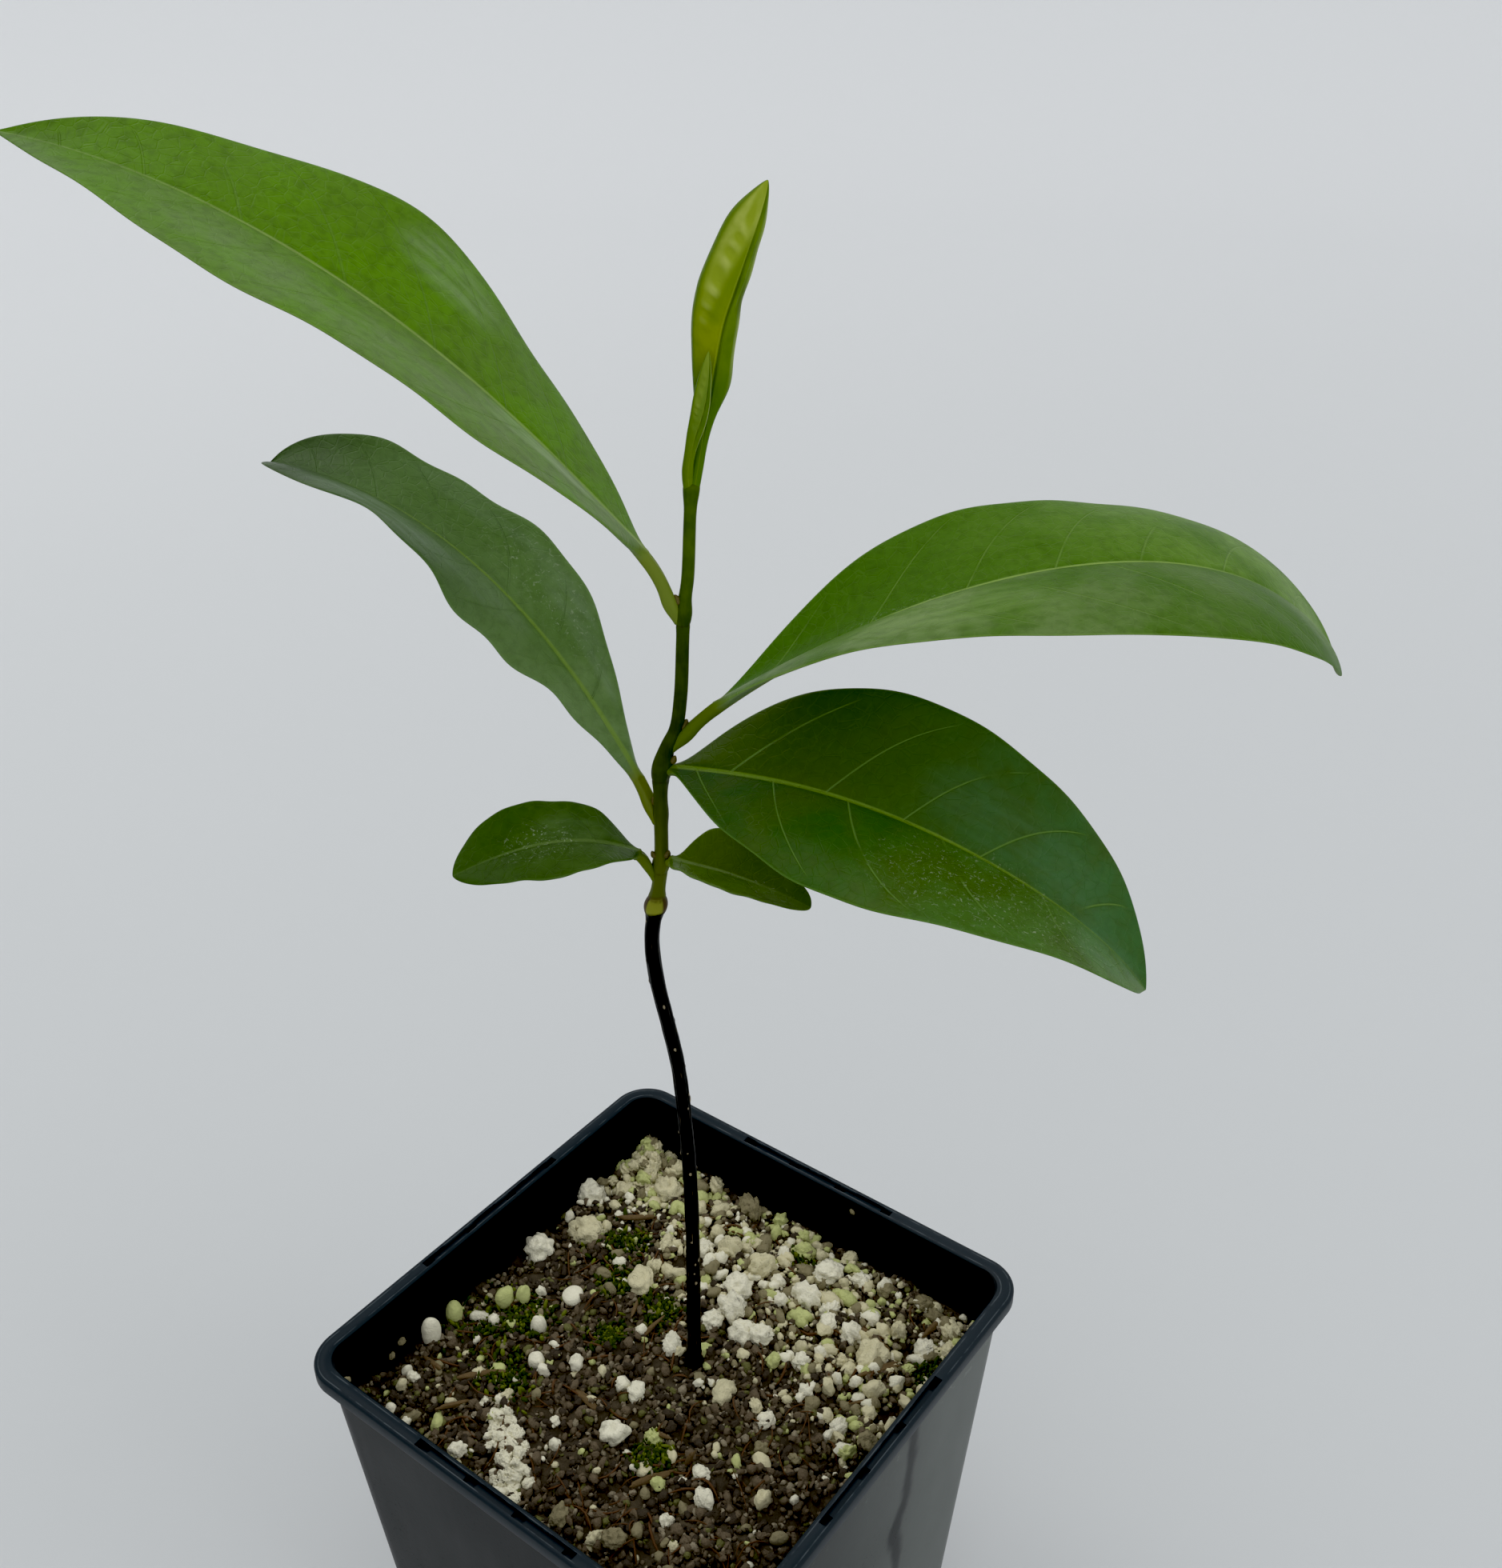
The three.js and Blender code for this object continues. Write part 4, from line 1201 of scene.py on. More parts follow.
def stem_rings():
    """Level rings about the smooth centre line, and marks: how far each point stands proud, its
    height, and a wave that counts from the collar's brown edges."""
    centre = smooth_line(stand_points(STEM_LINE), STEM_ROWS)
    angle = np.linspace(0, 2 * np.pi, STEM_AROUND, endpoint=False)[None, :]
    height = centre[:, 2][:, None]
    relief = stem_relief(angle, height, np.random.default_rng(7))
    radius = (stem_radius(height) + relief) * tip_dome(height)
    rings = np.stack([centre[:, 0][:, None] + radius * np.cos(angle),
                      centre[:, 1][:, None] + radius * np.sin(angle),
                      height + 0 * angle], -1)
    scars = np.cos(2 * (angle - np.radians(COLLAR_HEADING))) + 0 * relief
    proud = np.stack([relief, height + 0 * angle, scars], -1)
    return rings, {"stem_relief": proud}


stem = loft("stem_bark", *stem_rings())

# %% Stem finish
# Heights over which one tone gives way to the next, and the collar's upper edge
BARK_TO_COLLAR = (186.7, 187.5)
COLLAR_TO_GROWTH = (189, 190)
GROWTH_TO_OLIVE = (196, 212)
OLIVE_TO_FRESH = (222, 246)
COLLAR_EDGE = 189.6


def growth_tone(paint, height, uneven):
    """Dull green just above the collar, then olive, then a clear green at the top."""
    patchy = paint.step(uneven, 0.35, 0.65)
    olive = paint.mix(patchy, colour(42, 54, 4), colour(56, 70, 8))
    fresh = paint.mix(patchy, colour(66, 88, 4), colour(80, 102, 12))
    tone = paint.mix(paint.step(height, *GROWTH_TO_OLIVE), colour(84, 94, 22), olive)
    return paint.mix(paint.step(height, *OLIVE_TO_FRESH), tone, fresh)


def stem_finish():
    """Near black bark with pale pores, a yellow green collar with brown edges, and green growth
    above it. Creases are browner."""
    paint = Finish("sapote_bark")
    place = paint.place()
    relief, height, scars = paint.split(paint.mark("stem_relief"))
    uneven = paint.noise(place, 420, 3)
    level = height + (uneven - 0.5) * 2.4
    fine = paint.noise(paint.stretch(place, (1, 1, 0.12)), 2600, 3, 0.6)
    bark = paint.mix(paint.step(fine, 0.45, 0.7), colour(5, 5, 4), colour(16, 13, 10))
    bark = paint.mix(paint.step(relief, 0.06, 0.1), bark, colour(150, 138, 112))
    collar = paint.mix(paint.step(scars, -0.3, 0.3), colour(74, 58, 30), colour(140, 144, 46))
    tone = paint.mix(paint.step(level, *BARK_TO_COLLAR), bark, collar)
    growth = growth_tone(paint, height, uneven)
    tone = paint.mix(paint.step(level, *COLLAR_TO_GROWTH), tone, growth)
    rim = 1 - paint.step((level - COLLAR_EDGE).maths("ABSOLUTE"), 0.1, 0.5)
    tone = paint.mix(rim * 0.6, tone, colour(70, 56, 26))
    creases = paint.step(relief * -1, 0.03, 0.08)
    tone = paint.mix(creases * 0.5, tone, colour(46, 36, 20))
    bumps = fine + uneven * 0.5
    return paint.skin(tone, uneven * 0.3 + 0.3, 0.12, paint.bump(bumps, 0.00012, 0.7))


settle(stem, stem_finish(), "stem", "stem")

# %% [markdown]
# ## Leaf shape
# A leaf runs along a centre line whose heading and rise change smoothly from its base over its
# middle to its tip. Across it, each half folds up from the midrib and curls, and its margin
# waves. The width swells from the stalk and narrows to a point. On top the midrib lies in a
# groove, below it stands out as a rib, and the blade puffs up a little between the side veins.

# %% Leaf values
PETIOLE_RADIUS = 0.94
PETIOLE_ROWS, BLADE_ROWS = 26, 190

# Per leaf: the node's height, the petiole's and blade's lengths, the greatest half width and
# where it lies, the outline's fullness and the wedge at its base; then rises (petiole foot, base,
# middle, tip), headings (base, middle, tip) and rolls (base, tip), how far below the node the
# petiole starts and how far it is tucked in; for each half the fold, the curl and the margin's
# waves (height, number, phase); the number of side veins, and the scallop of the outline (left
# and right share, number, phase).
LEAVES = {
    "leaf_upper_left": dict(
        node=234, petiole=9, length=92.5, half_width=18.1, widest=0.45, fullness=2, wedge=0.02,
        rise=(82, 55, 37, 5), heading=(226, 216, 198), roll=(-4, -15), drop=1.2, tuck=0,
        left=(13, -6, 0.5, 2.75, -25), right=(14, -4, 1, 2.25, 55), veins=8,
        scallop=(0.006, 0.004, 7, 0)),
    "leaf_middle_left": dict(
        node=203, petiole=5.4, length=69.6, half_width=11.2, widest=0.68, fullness=1.4, wedge=0.02,
        rise=(70, 54, 40, 3), heading=(179, 197, 203), roll=(-18, 24), drop=1.0, tuck=0,
        left=(9, -11, 1.4, 2, -40), right=(19, 35, -1.4, 1.75, 30), veins=7,
        scallop=(0.075, 0.02, 6, 90)),
    "leaf_lower_left": dict(
        node=195, petiole=3, length=27.5, half_width=7.1, widest=0.5, fullness=1.4, wedge=0.03,
        rise=(66, 43, 1, -18), heading=(237, 235, 239), roll=(-6, -21), drop=2.6, tuck=0,
        left=(12, -11, 0.5, 1.75, -30), right=(15, 2, 0.3, 2.25, -105), veins=5,
        scallop=(0.014, 0.006, 4, 40)),
    "leaf_lower_right": dict(
        node=195.5, petiole=1.4, length=22.6, half_width=5.6, widest=0.52, fullness=1.3, wedge=0.03,
        rise=(53, 17, -2, -21), heading=(0, 8, 18), roll=(3, 14), drop=0.6, tuck=0.7,
        left=(22, 21, -2.1, 1, 180), right=(20, 12, 0.3, 1.5, 15), veins=4,
        scallop=(0.01, 0.03, 4, 0)),
    "leaf_upper_right": dict(
        node=215, petiole=7.5, length=104.5, half_width=18.9, widest=0.56, fullness=1.7,
        wedge=0.02, rise=(58, 39, 2, -61), heading=(28, 48, 67), roll=(-26, 20), drop=1.2, tuck=0,
        left=(15, 2, -4.6, 1, 205), right=(8, -28, 0.4, 2.25, -110), veins=8,
        scallop=(0.003, 0.004, 8, 20)),
    "leaf_middle_right": dict(
        node=210.5, petiole=0.4, length=75.8, half_width=16.1, widest=0.45, fullness=1.5,
        wedge=0.06, rise=(41, 8, -12, -59), heading=(21, 10, 45), roll=(19, 12), drop=0.5,
        tuck=1.6, left=(19, 20, -0.7, 1.5, 85), right=(13, -9, 2, 1.5, 50), veins=6,
        scallop=(0.002, 0.012, 6, 60)),
}


def through_three(values, t):
    """A quadratic that passes through three values at t of 0, 0.5 and 1."""
    start, middle, end = values
    return start * (1 - t) * (1 - 2 * t) + middle * 4 * t * (1 - t) + end * t * (2 * t - 1)


def width_share(along, widest, fullness, wedge=0.02):
    """Half width along a blade as a share of its greatest: powers of the distances from both
    ends, drawn out into a wedge at the base."""
    towards_base = (along / widest) ** (fullness * widest) * (1 - np.exp(-along / wedge))
    return towards_base * ((1 - along) / (1 - widest)) ** (fullness * (1 - widest))


def between(pair, t):
    """Straight from the first to the second value of a pair."""
    return pair[0] + (pair[1] - pair[0]) * t


# %% Leaf centre line
def running_line(heading, rise, length):
    """Adds up small steps along a changing heading and rise, from the origin."""
    middle_heading = (heading[1:] + heading[:-1]) / 2
    middle_rise = (rise[1:] + rise[:-1]) / 2
    steps = direction(middle_heading, middle_rise) * length / (len(heading) - 1)
    return np.concatenate([np.zeros((1, 3)), np.cumsum(steps, axis=0)])


def leaf_line(leaf):
    """Centre points, headings, rises and rolls along the petiole and the blade to the tip, with
    the share along the blade, which is 0 on the petiole. The petiole's first part is pulled
    aside, to start inside the stem and on the leaf's own side of it."""
    outward = direction(leaf["heading"][0], 0)
    levels = leaf["node"] + np.array([-0.8, 0, 0.8])
    foot_radius = stem_radius(levels).max()
    foot = stem_centre(leaf["node"]) + outward * (foot_radius + GAP - leaf["tuck"])
    t = np.linspace(0, 1, PETIOLE_ROWS)
    rise = between(leaf["rise"][:2], t)
    heading = np.full(PETIOLE_ROWS, float(leaf["heading"][0]))
    stalk = foot + running_line(heading, rise, leaf["petiole"])
    end = stalk[-1]
    inward = np.clip(1 - t * max(leaf["petiole"] / 2.6, 1), 0, 1) ** 2
    flank = np.sign(outward @ LEAN_SIDE) * LEAN_SIDE
    root = stem_centre(leaf["node"] - leaf["drop"]) + 0.45 * foot_radius * flank
    stalk = stalk + inward[:, None] * (root - foot)
    fine = np.linspace(0, 1, 1501)
    blade = end + running_line(through_three(leaf["heading"], fine),
                               through_three(leaf["rise"][1:], fine), leaf["length"])
    s = np.linspace(0, 1, BLADE_ROWS + 1)[1:]
    along = np.minimum(0.6 * s + 0.2 * (1 - np.cos(np.pi * s)), 0.9996)
    blade = np.stack([np.interp(along, fine, blade[:, axis]) for axis in range(3)], -1)
    centre = np.concatenate([stalk, blade])
    heading = np.concatenate([heading, through_three(leaf["heading"], along)])
    rise = np.concatenate([rise, through_three(leaf["rise"][1:], along)])
    roll = np.concatenate([leaf["roll"][0] * np.linspace(0, 1, PETIOLE_ROWS) ** 2,
                           between(leaf["roll"], along)])
    return centre, heading, rise, roll, np.concatenate([np.zeros(PETIOLE_ROWS), along])


# %% Leaf cross section
# In millimetres: half the blade's thickness, the small ripple of its margin, the width over which
# it bends at the midrib, the puff between side veins, the midrib's groove and its rib below
HALF_THICKNESS, RIPPLE, MIDRIB_EASE = 0.18, 0.13, 0.7
PUFF, GROOVE, RIB = 0.2, 0.3, 0.62


def section_columns():
    """Places across the leaf from 1 at the left margin to -1 at the right, close together at
    the midrib and at the margins, on top and then back underneath."""
    inner = np.linspace(0.95, -0.95, 41)
    inner = np.sign(inner) * abs(inner) ** 1.45
    top = np.concatenate([[1, 0.994, 0.97], inner, [-0.97, -0.994, -1]])
    across = np.concatenate([top, top[-2:0:-1]])
    upper = np.concatenate([np.ones(len(top)), np.zeros(len(top) - 2)])
    upper[[0, len(top) - 1]] = 0.5
    return across[None, :], upper[None, :]


def vein_phase(leaf, along, across, half_width):
    """Counts side veins: it rises by 1 from each vein to the next. Veins leave the midrib at
    an angle and bend towards the tip, and the right half is out of step by a half."""
    reach = abs(across)
    advance = half_width / leaf["length"] * (0.62 * reach + 0.42 * reach ** 3)
    uneven = 0.12 * np.sin(9 * along + 2 * np.sign(across))
    return leaf["veins"] * (along - advance) + uneven + 0.5 * (across < 0) + 0.25


def leaf_rings(leaf):
    """Rings across the leaf. A half blade leaves the midrib at its fold and bends by its curl,
    so across and up are the sine and cosine of the running bend. Thickness, groove, rib and
    puffs are then laid along the surface's own normal."""
    centre, heading, rise, roll, along = leaf_line(leaf)
    across, upper = section_columns()
    column = along[:, None]
    reach, sign = abs(across), np.where(across >= 0, 1, -1)
    fold, curl, height, count, phase = [np.where(across >= 0, a, b)
                                        for a, b in zip(leaf["left"], leaf["right"])]
    roundness = np.clip(1 - column, 0, 1) ** 8
    fold = np.radians(fold) * (1 - roundness)
    curl = np.radians(curl) * (1 - roundness) + 1e-4
    blade = leaf["half_width"] * width_share(column, leaf["widest"], leaf["fullness"],
                                             leaf["wedge"])
    left_share, right_share, number, shift = leaf["scallop"]
    scallop = np.where(across >= 0, left_share, right_share) * reach ** 2
    blade = blade * (1 + scallop * np.sin(2 * np.pi * number * column + np.radians(shift)))
    stalk = petiole_radius(leaf)[:, None] * (1 - column) ** 3
    half_width = np.hypot(blade, stalk)
    aside = reach * half_width
    bend = fold + curl * reach
    ripple = RIPPLE * np.sin(31 * column + 5 * sign) * np.sin(11 * column + sign) * reach ** 3
    wave = (height * reach ** 2 * np.sin(2 * np.pi * count * column + np.radians(phase)) + ripple
            ) * np.sqrt(np.clip(width_share(column, 0.5, 1.2), 0, None)) * (column > 0)
    soften = -np.sin(fold) * (aside - (np.hypot(aside, MIDRIB_EASE) - MIDRIB_EASE))
    out = half_width * (np.sin(bend) - np.sin(fold)) / curl
    up = half_width * (np.cos(fold) - np.cos(bend)) / curl + wave + soften
    thick = section_height(leaf, column, across, upper, half_width, aside, roundness, stalk)
    tilt = bend * np.tanh(aside / MIDRIB_EASE)
    sideways = sign * (out - thick * np.sin(tilt))
    upward = up + thick * np.cos(tilt)
    left, normal = cross_frame(heading, rise, roll)
    rings = (centre[:, None] + sideways[..., None] * left[:, None]
             + upward[..., None] * normal[:, None])
    return rings, leaf_marks(leaf, column, across, upper, half_width, aside)


def petiole_radius(leaf):
    """Radius of the petiole along all rows, slim inside the stem and a little swollen as it
    comes out, and as it ends on the blade."""
    t = np.linspace(0, leaf["petiole"], PETIOLE_ROWS)
    slim = np.clip(leaf["half_width"] / 9, 0.72, 1)
    swollen = slim * PETIOLE_RADIUS + 0.12 * bell(t - 1.6, 1.6) - 0.3 * bell(t, 0.9)
    return np.concatenate([swollen, np.full(BLADE_ROWS, PETIOLE_RADIUS)])


def section_height(leaf, along, across, upper, half_width, aside, roundness, stalk):
    """Height of the surface over the blade's middle layer: half the thickness, rounded at the
    margins, less the groove and plus the puffs on top, plus the rib below. On the petiole it is
    a circle with a shallow groove."""
    reach = abs(across)
    edge_share = np.clip(1.4 * HALF_THICKNESS / np.maximum(half_width, 0.01), 0.05, 1)
    edge = np.sqrt(np.clip(1 - np.clip((reach - 1 + edge_share) / edge_share, 0, 1) ** 2, 0, 1))
    edge = edge * (1 - 0.55 * along ** 6)
    phase = vein_phase(leaf, along, across, half_width)
    puff = PUFF * (1 - np.cos(2 * np.pi * phase)) / 2 * np.sqrt(reach) * (1 - reach ** 4)
    puff = puff * np.clip(half_width / 12, 0, 1)
    groove = GROOVE * bell(aside, 0.55) * (1 - along) ** 0.5
    rib = RIB * (1 - along) ** 0.7 * bell(aside, 0.65)
    foot = np.clip(1 - along * 40, 0, 1) * (along <= 0)
    circle = stalk * np.sqrt(np.clip(1 - reach ** 2, 0, 1))
    petiole_top = circle - 0.22 * bell(across, 0.4) * foot
    top = (HALF_THICKNESS * edge + puff - groove) * (1 - roundness) + petiole_top * roundness
    under = (-HALF_THICKNESS * edge + puff - rib) * (1 - roundness) - circle * roundness
    height = np.where(upper > 0.5, top, under)
    return np.where(reach >= 1, 0, height)


def cross_frame(heading, rise, roll):
    """Left and upward unit vectors across a leaf, turned about its line by the roll."""
    along = direction(heading, rise)
    level = direction(heading + 90, 0 * rise)
    up = np.cross(along, level)
    turn = np.radians(roll)[:, None]
    return level * np.cos(turn) + up * np.sin(turn), up * np.cos(turn) - level * np.sin(turn)


def leaf_marks(leaf, along, across, upper, half_width, aside):
    """What the leaf's material reads: place in millimetres along and across; vein count, distance
    from the margin and upper side; share along, share across with its sign, and petiole share."""
    zero = 0 * (along + across)
    phase = vein_phase(leaf, along, across, half_width) + zero
    edge = half_width - aside
    petiole = (1 - np.clip(along * 30, 0, 1)) + zero
    return {
        "leaf_place": np.stack([along * leaf["length"] + zero, across * half_width, zero], -1),
        "leaf_lines": np.stack([phase, edge, upper + zero], -1),
        "leaf_share": np.stack([along + zero, across + zero, petiole], -1),
    }


# %% [markdown]
# ## Leaf finish
# The upper side is a deep green with a wax gloss, darker and bluer on old leaves and yellower on
# young ones. A pale line marks the midrib, thin pale lines the side veins, and a fine net lies
# between them. Dried water leaves pale specks. The underside is duller and lighter. The greens of
# each half also hold painted light: a paler, greyer half is a painted sheen and a vivid half is
# painted light shining through. Pale patches are painted sheen, and some tips get painted shade.

# %% Greens of a leaf
def sheen_patches(paint, green, place, along, across, look):
    """Painted sheen: soft pale patches of reflected light, streaked along the leaf."""
    streaks = paint.step(paint.noise(paint.stretch(place, (0.1, 0.9, 1)), 0.9, 3, 0.6), 0.3, 0.7)
    for middle_along, reach_along, middle_across, reach_across, share in look["sheens"]:
        away_along = (along - middle_along) * (1 / reach_along)
        away_across = (across - middle_across) * (1 / reach_across)
        away = away_along * away_along + away_across * away_across
        patch = (1 - paint.step(away, 0, 1)) * (streaks * 0.7 + 0.3)
        green = paint.mix(patch * share, green, look["sheen"])
    return green


def leaf_greens(paint, place, along, across, clouds, look):
    """Greens from base to tip on each half, with painted sheen and painted light in them, then
    blotches, dark mottling, painted shade near the tip and painted sheen patches.
    """
    drift = paint.step(along + (clouds - 0.5) * 0.5, 0.15, 0.85)
    # Each half's greens hold painted light: a paler, greyer half as painted sheen, a vivid half as
    # painted light shining through
    halves = [paint.mix(drift, *look[half]) for half in ("right", "left")]
    green = paint.mix(paint.step(across, -0.05, 0.05), *halves)
    blotches = paint.step(clouds, 0.46, 0.64)
    mottle = paint.step(paint.noise(place, 0.3, 2, 0.6, 0.6), 0.42, 0.68)
    green = paint.mix(blotches * look["blotch_share"], green, look["blotch"])
    green = paint.mix(mottle * look["blotch_share"] * 0.5, green, look["blotch"])
    shade = paint.step(paint.noise(place, 0.62, 3, 0.6), 0.42, 0.68)
    # Painted shade near the tip, on top of the dark mottling
    shade = shade * look["shade"] + paint.step(along, 0.76, 0.95) * look["tip_shade"]
    green = paint.mix(shade, green, colour(30, 52, 0))
    return sheen_patches(paint, green, place, along, across, look)


# %% Veins and specks of a leaf
def side_veins(paint, place, phase, edge):
    """Thin lines where the vein count passes a whole number, faded here and there and towards
    the margin, and the wider halo about them."""
    spacing = phase.maths("FRACT")
    from_vein = (spacing - 0.5).maths("ABSOLUTE") * -1 + 0.5
    line = 1 - paint.step(from_vein, 0.006, 0.022)
    line = line * paint.step(edge, 0.8, 3.0) * paint.step(paint.noise(place, 0.11, 1), 0.3, 0.5)
    return line, (1 - paint.step(from_vein, 0.02, 0.12)) * paint.step(edge, 0.6, 3)


def midrib_line(paint, place, along):
    """A line that thins towards the tip."""
    _, aside, _ = paint.split(place)
    width = (1 - along) * 0.42 + 0.12
    return 1 - paint.step(aside.maths("ABSOLUTE").maths("DIVIDE", width), 0.5, 1.1)


def speck_mask(paint, place, along, across, look):
    """Dried specks and short scratches within a round patch of the leaf."""
    middle_along, middle_across, reach, share = look["specks"]
    away_along = (along - middle_along) ** 2
    away_across = (across - middle_across) * 0.45
    away = (away_along + away_across * away_across) ** 0.5
    patch = 1 - paint.step(away, reach * 0.4, reach)
    dots = paint.step(paint.noise(place, 1.9, 4, 0.75, 0.8), 0.58, 0.66)
    scratches = paint.step(paint.noise(paint.stretch(place, (0.35, 2.4, 1)), 1.1, 3, 0.7, 1.5),
                           0.64, 0.7)
    return dots.maths("MAXIMUM", scratches) * patch * share


# %% Leaf finish
def leaf_finish(name, look):
    """The greens, then the net, veins, midrib, margin and specks on them, the underside and the
    petiole."""
    paint = Finish(name)
    place = paint.mark("leaf_place")
    phase, edge, upper = paint.split(paint.mark("leaf_lines"))
    along, across, petiole = paint.split(paint.mark("leaf_share"))
    clouds = paint.noise(place, 0.07, 3, 0.55)
    fine = paint.noise(place, 1.3, 3, 0.6)
    green = leaf_greens(paint, place, along, across, clouds, look)
    green = paint.mix(paint.step(fine, 0.4, 0.75) * 0.05, green, look["vein"])

    veins, halo = side_veins(paint, place, phase, edge)
    net = 1 - paint.step(paint.cells(place, 0.62, "DISTANCE_TO_EDGE"), 0.01, 0.07)
    midrib = midrib_line(paint, place, along)
    green = paint.mix(halo * 0.14, green, look["blotch"])
    green = paint.mix(net * look["net_share"], green, look["vein"])
    green = paint.mix(veins * look["vein_share"], green, look["vein"])
    midrib_share = 0.85 - paint.step(along, 0.5, 0.92) * 0.6
    green = paint.mix(midrib * midrib_share, green, look["midrib"])
    margin = (1 - paint.step(edge, 0.05, 0.32)) * (1 - paint.step(along, 0.6, 0.95))
    green = paint.mix(margin * 0.45, green, look["vein"])
    specks = speck_mask(paint, place, along, across, look)
    green = paint.mix(specks, green, colour(168, 184, 150))

    on_top = paint.step(upper, 0.35, 0.65)
    tone = paint.mix(on_top, paint.mix(midrib, look["under"], colour(128, 142, 78)), green)
    tone = paint.mix(petiole, tone, look["petiole"])
    relief = (veins * -0.7 - net * 0.2 + fine * 0.3 + clouds * 0.6) * (1 - petiole)
    rough = on_top * (look["rough"] - 0.6) + 0.6 + fine * 0.12 - 0.06
    return paint.skin(tone, rough + specks * 0.2, look["gloss"], paint.bump(relief, 0.00018, 0.8))


# %% Leaf looks
# Per leaf: the colours of each half from base to tip, which hold painted sheen and painted light
# shining through; the share of dark mottling all over, and of painted shade near the tip; the
# painted sheen's colour, and its patches (middle and reach along, middle and reach across,
# share); colours of blotches, veins, midrib, underside and petiole, with shares of the first two
# and of the net; specks (middle along and across, reach, share); roughness and gloss on top.
LEAF_LOOKS = {
    "leaf_upper_left": dict(
        left=(colour(96, 124, 56), colour(96, 130, 52)),
        right=(colour(88, 124, 30), colour(86, 128, 8)),
        shade=0.24, tip_shade=0.1, sheen=colour(166, 184, 148),
        sheens=[(0.2, 0.16, 0.24, 0.24, 0.5), (0.42, 0.11, -0.72, 0.3, 0.3),
                (0.5, 0.3, 0.6, 0.4, 0.12)],
        blotch=colour(90, 136, 2), blotch_share=0.7, vein=colour(126, 156, 84),
        vein_share=0.12, net_share=0.03, midrib=colour(136, 162, 86), under=colour(120, 142, 92),
        petiole=colour(118, 134, 50), specks=(0.5, 0.5, 0.2, 0.1), rough=0.42, gloss=0.14),
    "leaf_middle_left": dict(
        left=(colour(104, 132, 78), colour(78, 106, 54)),
        right=(colour(108, 137, 80), colour(86, 117, 56)),
        shade=0.18, tip_shade=0.5, sheen=colour(150, 168, 146),
        sheens=[(0.6, 0.25, -0.8, 0.25, 0.14), (0.3, 0.2, -0.7, 0.3, 0.2),
                (0.72, 0.2, 0.6, 0.5, 0.55), (0.5, 0.16, 0.3, 0.4, 0.2)],
        blotch=colour(84, 116, 50), blotch_share=0.45, vein=colour(108, 138, 82),
        vein_share=0.12, net_share=0.04, midrib=colour(118, 148, 62), under=colour(104, 126, 88),
        petiole=colour(110, 122, 36), specks=(0.4, -0.6, 0.24, 0.5), rough=0.36, gloss=0.18),
    "leaf_lower_left": dict(
        left=(colour(66, 94, 26), colour(60, 88, 22)),
        right=(colour(76, 104, 38), colour(68, 96, 32)),
        shade=0.24, tip_shade=0, sheen=colour(110, 136, 90), sheens=[(0.35, 0.25, -0.3, 0.5, 0.25)],
        blotch=colour(50, 80, 8), blotch_share=0.55, vein=colour(92, 120, 56),
        vein_share=0.3, net_share=0.08, midrib=colour(100, 126, 62), under=colour(100, 122, 80),
        petiole=colour(96, 112, 30), specks=(0.55, 0.02, 0.3, 0.7), rough=0.36, gloss=0.12),
    "leaf_lower_right": dict(
        left=(colour(80, 102, 8), colour(76, 98, 10)),
        right=(colour(92, 122, 24), colour(90, 118, 22)),
        shade=0.12, tip_shade=0, sheen=colour(120, 140, 90), sheens=[(0.75, 0.25, 0.2, 0.5, 0.2)],
        blotch=colour(76, 98, 8), blotch_share=0.4, vein=colour(112, 138, 70),
        vein_share=0.3, net_share=0.08, midrib=colour(116, 140, 72), under=colour(96, 116, 76),
        petiole=colour(104, 120, 36), specks=(0.7, -0.2, 0.35, 0.4), rough=0.36, gloss=0.1),
    "leaf_upper_right": dict(
        left=(colour(62, 102, 0), colour(104, 140, 52)),
        right=(colour(112, 136, 82), colour(66, 104, 6)),
        shade=0.2, tip_shade=0, sheen=colour(154, 184, 106),
        sheens=[(0.52, 0.2, 0.62, 0.35, 0.06), (0.3, 0.2, -0.5, 0.5, 0.3),
                (0.9, 0.12, -0.3, 0.6, 0.3)],
        blotch=colour(66, 106, 4), blotch_share=0.7, vein=colour(130, 162, 80),
        vein_share=0.3, net_share=0.05, midrib=colour(142, 170, 88), under=colour(118, 140, 92),
        petiole=colour(92, 110, 16), specks=(0.25, -0.1, 0.16, 0.35), rough=0.38, gloss=0.06),
    "leaf_middle_right": dict(
        left=(colour(60, 84, 0), colour(62, 104, 50)),
        right=(colour(38, 78, 0), colour(86, 122, 54)),
        shade=0.14, tip_shade=0, sheen=colour(96, 136, 100),
        sheens=[(0.66, 0.24, 0.38, 0.4, 0.2), (0.88, 0.12, -0.3, 0.7, 0.4)],
        blotch=colour(64, 84, 4), blotch_share=0.5, vein=colour(104, 140, 62),
        vein_share=0.65, net_share=0.04, midrib=colour(112, 142, 44), under=colour(104, 126, 82),
        petiole=colour(100, 120, 30), specks=(0.68, -0.45, 0.3, 0.6), rough=0.34, gloss=0.13),
}

for name, leaf in LEAVES.items():
    blade = loft(name + "_blade", *leaf_rings(leaf))
    settle(blade, leaf_finish(name, LEAF_LOOKS[name]), "leaf", name)

# %% [markdown]
# ## Young leaves
# At the tip a new leaf is still rolled lengthwise, with a smaller one in front of its foot. Each
# is a bent spindle on a thin stalk. The roll shows as a seam with a raised lip that runs up the
# front, and the side veins press soft bumps through the thin blade.

